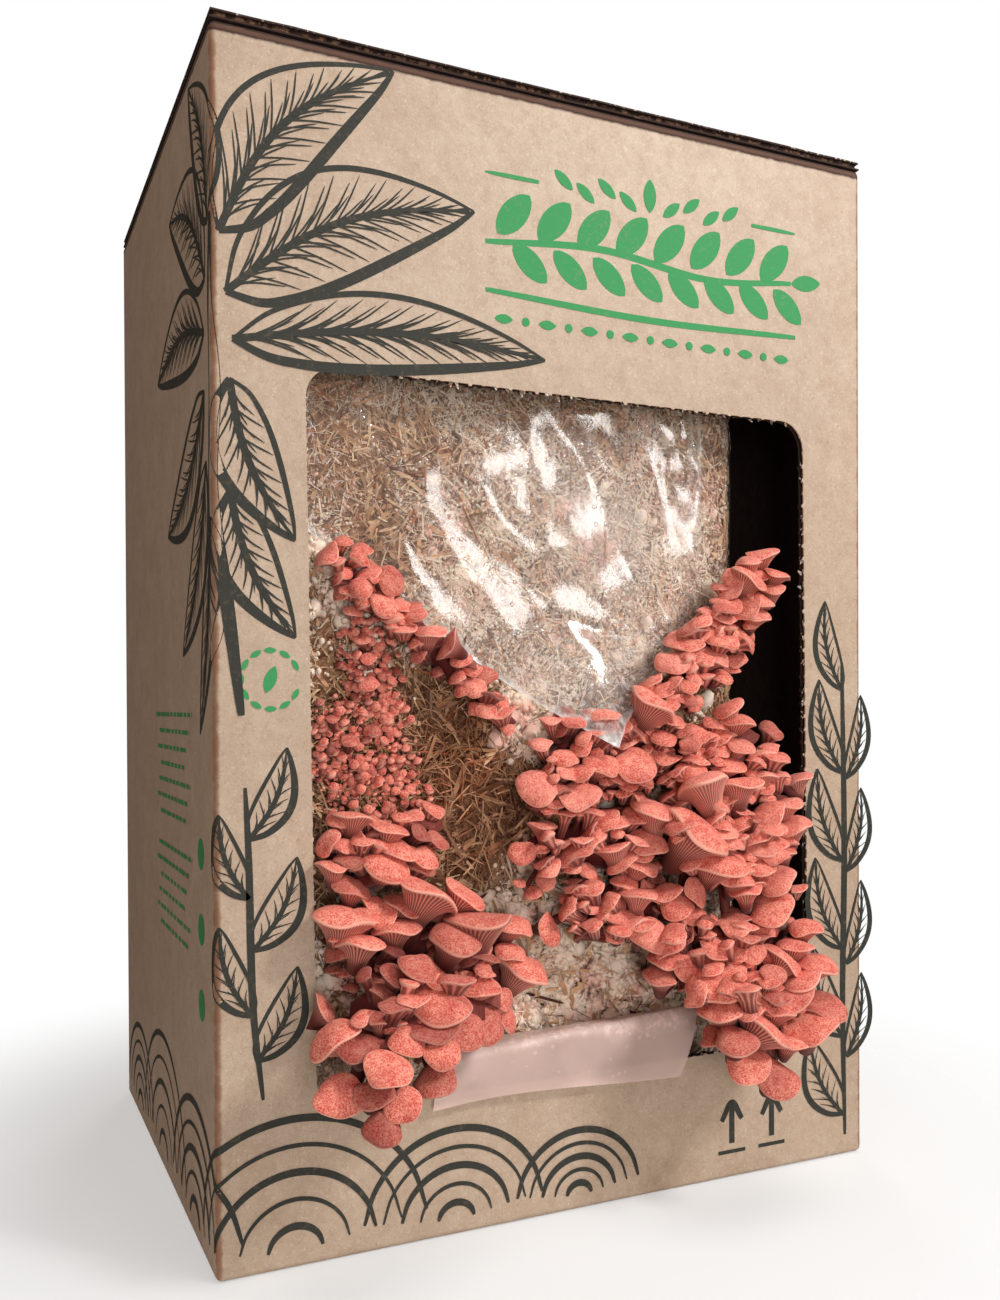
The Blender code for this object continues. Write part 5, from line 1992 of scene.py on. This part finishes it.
# A bunch's swellings as (x, z, end x, end z, ahead of the board, radius), its caps as (x, z, ahead, width,
# rise, lean) with the rise of the top and its lean to the right in degrees, and its count of small caps
BUNCHES = {
    "bunch_upper_left": (
        ((-86, 221, -28, 171, -11, 7),),
        (
            (-84, 227, -8, 7, 65, 0), (-78, 225, -7, 8, 65, 5), (-68, 215, -4, 11, 40, 40),
            (-82, 211, -6, 8, 62, 10), (-84, 217, -7, 7, 60, 20), (-81, 205, -7, 7, 60, 15),
            (-71, 210, -4, 8, 60, 0), (-60, 205, -2, 9, 55, -10), (-64, 200, -3, 10, 72, 0),
            (-55, 199, -1, 11, 78, 0), (-49, 195, 0, 12, 75, -60), (-44, 190, -2, 8, 45, 0),
            (-40, 187, -3, 7, 45, 0), (-39, 181, -2, 9, 40, 10), (-35, 173, 0, 8, 40, 0),
            (-27, 167, -4, 6, 55, 0),
        ),
        70,
    ),
    "bunch_left": (
        ((-73, 193, -75, 140, -28, 16), (-86, 162, -70, 150, -30, 16), (-84, 129, -60, 129, -8, 12)),
        (
            (-81, 140, 0, 13, 86, 8), (-69, 136, 2, 14, 84, 14), (-78, 132, 4, 10, 80, 5),
            (-66, 129, 5, 14, 65, 18), (-88, 125, 4, 12, 78, 5), (-70, 123, 8, 16, 52, 22),
            (-57, 126, 5, 12, 62, 28), (-52, 131, 2, 10, 70, 40), (-54, 141, -4, 9, 65, 30),
            (-85, 131, 3, 8, 55, 10), (-78, 196, -6, 6, 60, 5), (-76, 190, -6, 6, 50, 5),
            (-76, 182, -6, 7, 45, 0), (-82, 164, -8, 7, 55, 10), (-75, 167, -8, 6, 50, 0),
            (-88, 171, -8, 5, 60, 0),
        ),
        90,
    ),
    "bunch_lower_left": (
        ((-84, 100, -36, 92, -2, 15), (-74, 76, -44, 74, 14, 17)),
        (
            (-85, 108, 10, 20, 78, 12), (-79, 100, 14, 16, 80, 5), (-67, 104, 12, 16, 76, 0),
            (-82, 118, 4, 13, 62, 25), (-74, 112, 6, 11, 65, 25), (-64, 111, 8, 14, 62, 15),
            (-56, 115, 12, 23, 88, 28), (-43, 113, 10, 16, 80, 38), (-38, 104, 16, 26, 84, 2),
            (-46, 98, 22, 20, 70, 18), (-24, 101, 8, 13, 62, 20), (-26, 92, 10, 11, 60, 20),
            (-21, 86, 10, 20, 75, 22), (-59, 90, 26, 15, 60, 30), (-67, 88, 22, 12, 62, 40),
            (-71, 83, 20, 12, 75, 30), (-52, 78, 30, 23, 57, 10), (-38, 82, 22, 15, 55, 10),
            (-36, 69, 26, 16, 40, 35), (-28, 71, 18, 13, 70, 65), (-55, 70, 34, 17, 50, 5),
            (-72, 75, 26, 12, 70, 5), (-89, 71, 26, 18, 65, -38), (-80, 67, 31, 15, 52, 5),
            (-63, 66, 36, 13, 40, 35), (-43, 67, 32, 15, 35, 30), (-51, 61, 38, 13, 30, 20),
            (-70, 58, 43, 17, 42, 10), (-86, 52, 34, 17, 28, 0), (-75, 51, 38, 14, 45, 10),
            (-54, 53, 36, 16, 40, -20), (-65, 46, 40, 13, 20, -20), (-72, 39, 40, 13, 15, 0),
            (-90, 80, 12, 12, 75, 60), (-88, 92, -3, 6, 60, 0), (-84, 91, -3, 6, 60, 0),
            (-82, 86, -3, 6, 60, 0),
        ),
        150,
    ),
    "bunch_centre": (
        ((-8, 162, 34, 161, -9, 12), (-16, 150, 24, 148, -8, 13), (-10, 128, 30, 124, -5, 14),
         (4, 106, 30, 102, -2, 12)),
        (
            (-16, 147, 6, 16, 42, 5), (-22, 125, 4, 10, 20, 0), (0, 144, 8, 16, 50, 5),
            (-11, 170, -2, 9, 75, 5), (-15, 162, 0, 10, 72, 0), (-5, 157, 4, 10, 50, 15),
            (-14, 134, 2, 11, 82, 5), (-5, 138, 4, 9, 85, 2), (5, 138, 5, 10, 82, 5),
            (9, 154, 6, 13, 55, 15), (23, 154, 8, 17, 48, 18), (35, 163, 6, 10, 55, 18),
            (17, 162, -3, 13, 60, -20), (-15, 126, 2, 8, 65, 5), (-7, 122, 4, 10, 60, 15),
            (14, 125, 6, 14, 84, -12), (28, 126, 8, 15, 50, 15), (25, 118, 8, 13, 72, 22),
            (35, 108, 12, 12, 55, -10), (24, 108, 10, 14, 80, 0), (4, 105, 6, 9, 45, 30),
            (14, 102, 8, 10, 40, 20), (22, 101, 8, 9, 50, 30), (-1, 102, 5, 9, 60, 60),
            (-11, 98, 4, 12, 55, 80), (30, 93, 14, 16, 35, 30), (40, 103, 12, 14, 45, 10),
            (14, 94, 6, 8, 30, 20), (-13, 115, 2, 8, 30, 0), (4, 117, 4, 8, 50, 50),
            (18, 144, 4, 7, 60, 0), (-3, 127, 3, 9, 60, 0), (-18, 111, 3, 7, 50, 0),
            (-23, 115, 3, 5, 50, 0), (-5, 108, 3, 6, 50, 0),
        ),
        260,
    ),
    "bunch_upper_right": (
        ((36, 176, 74, 216, -6, 12),),
        (
            (78, 231, 4, 13, 78, -5), (72, 228, 4, 11, 80, -3), (72, 222, 5, 15, 95, 35),
            (85, 224, 6, 12, 92, 20), (83, 218, 5, 11, 78, 0), (65, 222, 2, 10, 50, -5),
            (59, 218, 0, 8, 72, 0), (60, 213, 1, 10, 75, 8), (70, 211, 5, 13, 45, -35),
            (77, 214, 6, 12, 75, 28), (75, 208, 5, 12, 78, 12), (53, 209, -1, 8, 75, 8),
            (61, 207, 2, 11, 72, 20), (66, 202, 3, 9, 70, 45), (53, 202, 0, 14, 66, 5),
            (43, 198, 0, 15, 62, 5), (63, 197, 2, 8, 70, 45), (56, 193, 3, 14, 65, 22),
            (38, 190, 2, 13, 50, 0), (60, 185, 3, 10, 65, 20), (31, 175, 4, 20, 92, 38),
        ),
        110,
    ),
    "bunch_right": (
        ((44, 152, 78, 152, -4, 15), (48, 126, 80, 122, 2, 18)),
        (
            (62, 174, 8, 13, 70, -30), (67, 169, 9, 14, 75, 5), (68, 160, 10, 12, 68, 15),
            (57, 168, 6, 10, 70, 20), (49, 165, 5, 9, 65, 20), (50, 158, 7, 9, 60, 20),
            (62, 153, 10, 14, 62, 10), (78, 157, 8, 10, 88, -2), (51, 146, 14, 22, 92, -22),
            (67, 146, 15, 18, 90, -8), (78, 149, 10, 12, 88, 5), (85, 148, 9, 9, 84, -10),
            (94, 147, 0, 12, 75, -20), (49, 129, 16, 27, 92, 38), (80, 134, 14, 16, 55, -25),
            (89, 137, 12, 12, 70, -12), (92, 129, 14, 15, 65, -12), (73, 127, 15, 15, 60, -30),
            (82, 124, 14, 13, 66, 5), (30, 138, 8, 19, 80, 15), (58, 118, 18, 22, 66, 14),
            (76, 121, 16, 14, 68, 8), (75, 115, 17, 15, 62, 8), (87, 119, 14, 11, 72, -15),
            (66, 111, 18, 14, 66, 10), (70, 106, 19, 13, 68, -8), (84, 109, 18, 16, 45, -22),
            (49, 107, 14, 12, 55, 65), (81, 99, 20, 20, 50, -25), (93, 105, 2, 9, 70, -10),
            (48, 98, 14, 10, 45, 20), (65, 93, 20, 13, 55, 5),
        ),
        220,
    ),
    "bunch_lower_right": (
        ((46, 88, 82, 84, 6, 16), (62, 66, 90, 62, 18, 18)),
        (
            (98, 90, 22, 13, 60, 0), (93, 84, 24, 15, 76, 4), (103, 76, 26, 18, 72, 12),
            (72, 84, 24, 14, 40, 30), (57, 86, 20, 14, 62, 32), (44, 82, 16, 15, 40, 60),
            (35, 84, 14, 13, 50, 10), (54, 79, 22, 12, 60, -15), (61, 77, 24, 15, 62, -10),
            (88, 79, 26, 17, 88, 38), (74, 74, 28, 16, 80, -5), (56, 72, 26, 22, 55, 0),
            (95, 71, 28, 20, 75, -20), (90, 65, 30, 20, 55, -15), (59, 64, 30, 20, 60, -12),
            (76, 64, 30, 14, 85, 38), (106, 60, 30, 20, 60, 10), (99, 53, 34, 22, 55, -8),
            (80, 54, 36, 24, 85, 40), (66, 51, 38, 18, 58, 5), (71, 41, 38, 18, 38, 10),
            (84, 34, 36, 19, 40, 15), (85, 60, 32, 15, 72, 12), (91, 48, 34, 14, 66, 10),
            (33, 78, 12, 14, 60, 15),
        ),
        140,
    ),
}


# Camera, light and floor


def add_camera():
    yaw, pitch, roll = (math.radians(angle) for angle in (EYE_YAW, EYE_PITCH, EYE_ROLL))
    turn = Matrix.Rotation(yaw, 3, "Z") @ Matrix.Rotation(pitch, 3, "X") @ Matrix.Rotation(roll, 3, "Y")
    bpy.ops.object.camera_add(location=EYE)
    camera = bpy.context.object
    camera.name = "camera"
    camera.rotation_euler = (turn @ Matrix.Rotation(math.radians(90), 3, "X")).to_euler()
    camera.data.sensor_fit = "AUTO"
    camera.data.sensor_width = SENSOR_WIDTH
    camera.data.lens = EYE_LENS
    camera.data.shift_y = EYE_SHIFT
    camera.data.clip_start = NEAREST
    camera.data.clip_end = FARTHEST
    bpy.context.scene.camera = camera


# Lights as (name, place, target, size, power, colour)
SOFTBOXES = (
    ("key", (0.54, -0.80, 0.86), (0.0, -0.10, 0.20), 0.20, 7.9, (1.0, 0.98, 0.95)),
    ("front", (-0.34, -1.36, 0.34), (0.0, -0.10, 0.16), 0.46, 2.7, (1.0, 0.97, 0.93)),
    ("low", (-0.24, -1.00, 0.04), (0.0, -0.10, 0.12), 0.30, 2.2, (1.0, 0.96, 0.91)),
    ("card", (0.555, -1.10, 0.436), (0.0, 0.0, 0.24), 0.17, 0.84, (1.0, 0.99, 0.98)),
    ("top", (0.25, -0.45, 2.2), (0.0, -0.15, 0.0), 1.0, 16.0, (1.0, 0.98, 0.96)),
    ("left", (-1.40, 0.05, 0.50), (-0.12, 0.0, 0.19), 0.60, 1.7, (1.0, 0.84, 0.74)),
    ("back", (0.70, 1.50, 0.80), (0.0, 0.0, 0.19), 0.60, 7.0, (1.0, 0.97, 0.94)),
)
DIM_COLOUR, DIM_STRENGTH = (1.0, 0.82, 0.68, 1.0), 0.14
WHITE_COLOUR, WHITE_STRENGTH = (1.0, 1.0, 1.0, 1.0), 1.0
FLOOR_SIZE = 12.0
FLOOR_DROP = 0.0002


def add_softboxes():
    """Square area lights, each turned to its target."""
    for name, place, target, size, power, colour in SOFTBOXES:
        bpy.ops.object.light_add(type="AREA", location=place)
        light = bpy.context.object
        light.name = name
        light.data.shape = "RECTANGLE"
        light.data.size = size
        light.data.size_y = size
        light.data.energy = power
        light.data.color = colour
        light.rotation_euler = (Vector(target) - Vector(place)).to_track_quat("-Z", "Y").to_euler()


def add_surroundings():
    """A white background for the camera, and a dim warm one for everything else."""
    world = bpy.data.worlds.new("studio")
    world.use_nodes = True
    world.node_tree.nodes.clear()
    start = Wire(world.node_tree)
    seen = start.node("ShaderNodeLightPath", output="Is Camera Ray")
    dim = start.node("ShaderNodeBackground", None, {"Color": DIM_COLOUR, "Strength": DIM_STRENGTH})
    white = start.node("ShaderNodeBackground", None, {"Color": WHITE_COLOUR, "Strength": WHITE_STRENGTH})
    sky = start.node("ShaderNodeMixShader", None, {0: seen, 1: dim, 2: white})
    output = world.node_tree.nodes.new("ShaderNodeOutputWorld")
    world.node_tree.links.new(sky.socket, output.inputs["Surface"])
    bpy.context.scene.world = world
    bpy.context.scene.view_settings.view_transform = "Standard"


def add_floor():
    """A wide pale floor just below the carton."""
    bpy.ops.mesh.primitive_plane_add(size=FLOOR_SIZE, location=(0, 0, -FLOOR_DROP))
    floor = settle(named(bpy.context.object, "floor"))
    floor.data.materials.append(floor_paint())


# The whole kit


SEED = 11


def main():
    """The order of the pieces sets the order of the random draws."""
    deselect_all()
    draw = np.random.default_rng(SEED)
    liner = kraft_liner()
    core = board_core()
    inner = kraft_inside()
    add_camera()
    add_softboxes()
    add_surroundings()
    add_floor()
    sleeve = make_sleeve(liner, core, inner, draw)
    hand_over(sleeve, "kraft_board", "carton")
    hand_over(make_lid(liner, core), "kraft_board")
    hand_over(make_torn_flakes(torn_paper(), draw), "kraft_board")
    print_dark(ink("ink_dark", DARK_INK, DARK_INK_WORN))
    print_green(ink("ink_green", GREEN_INK, GREEN_INK_WORN))
    make_block(draw)
    make_film()
    make_bunches(draw)


main()
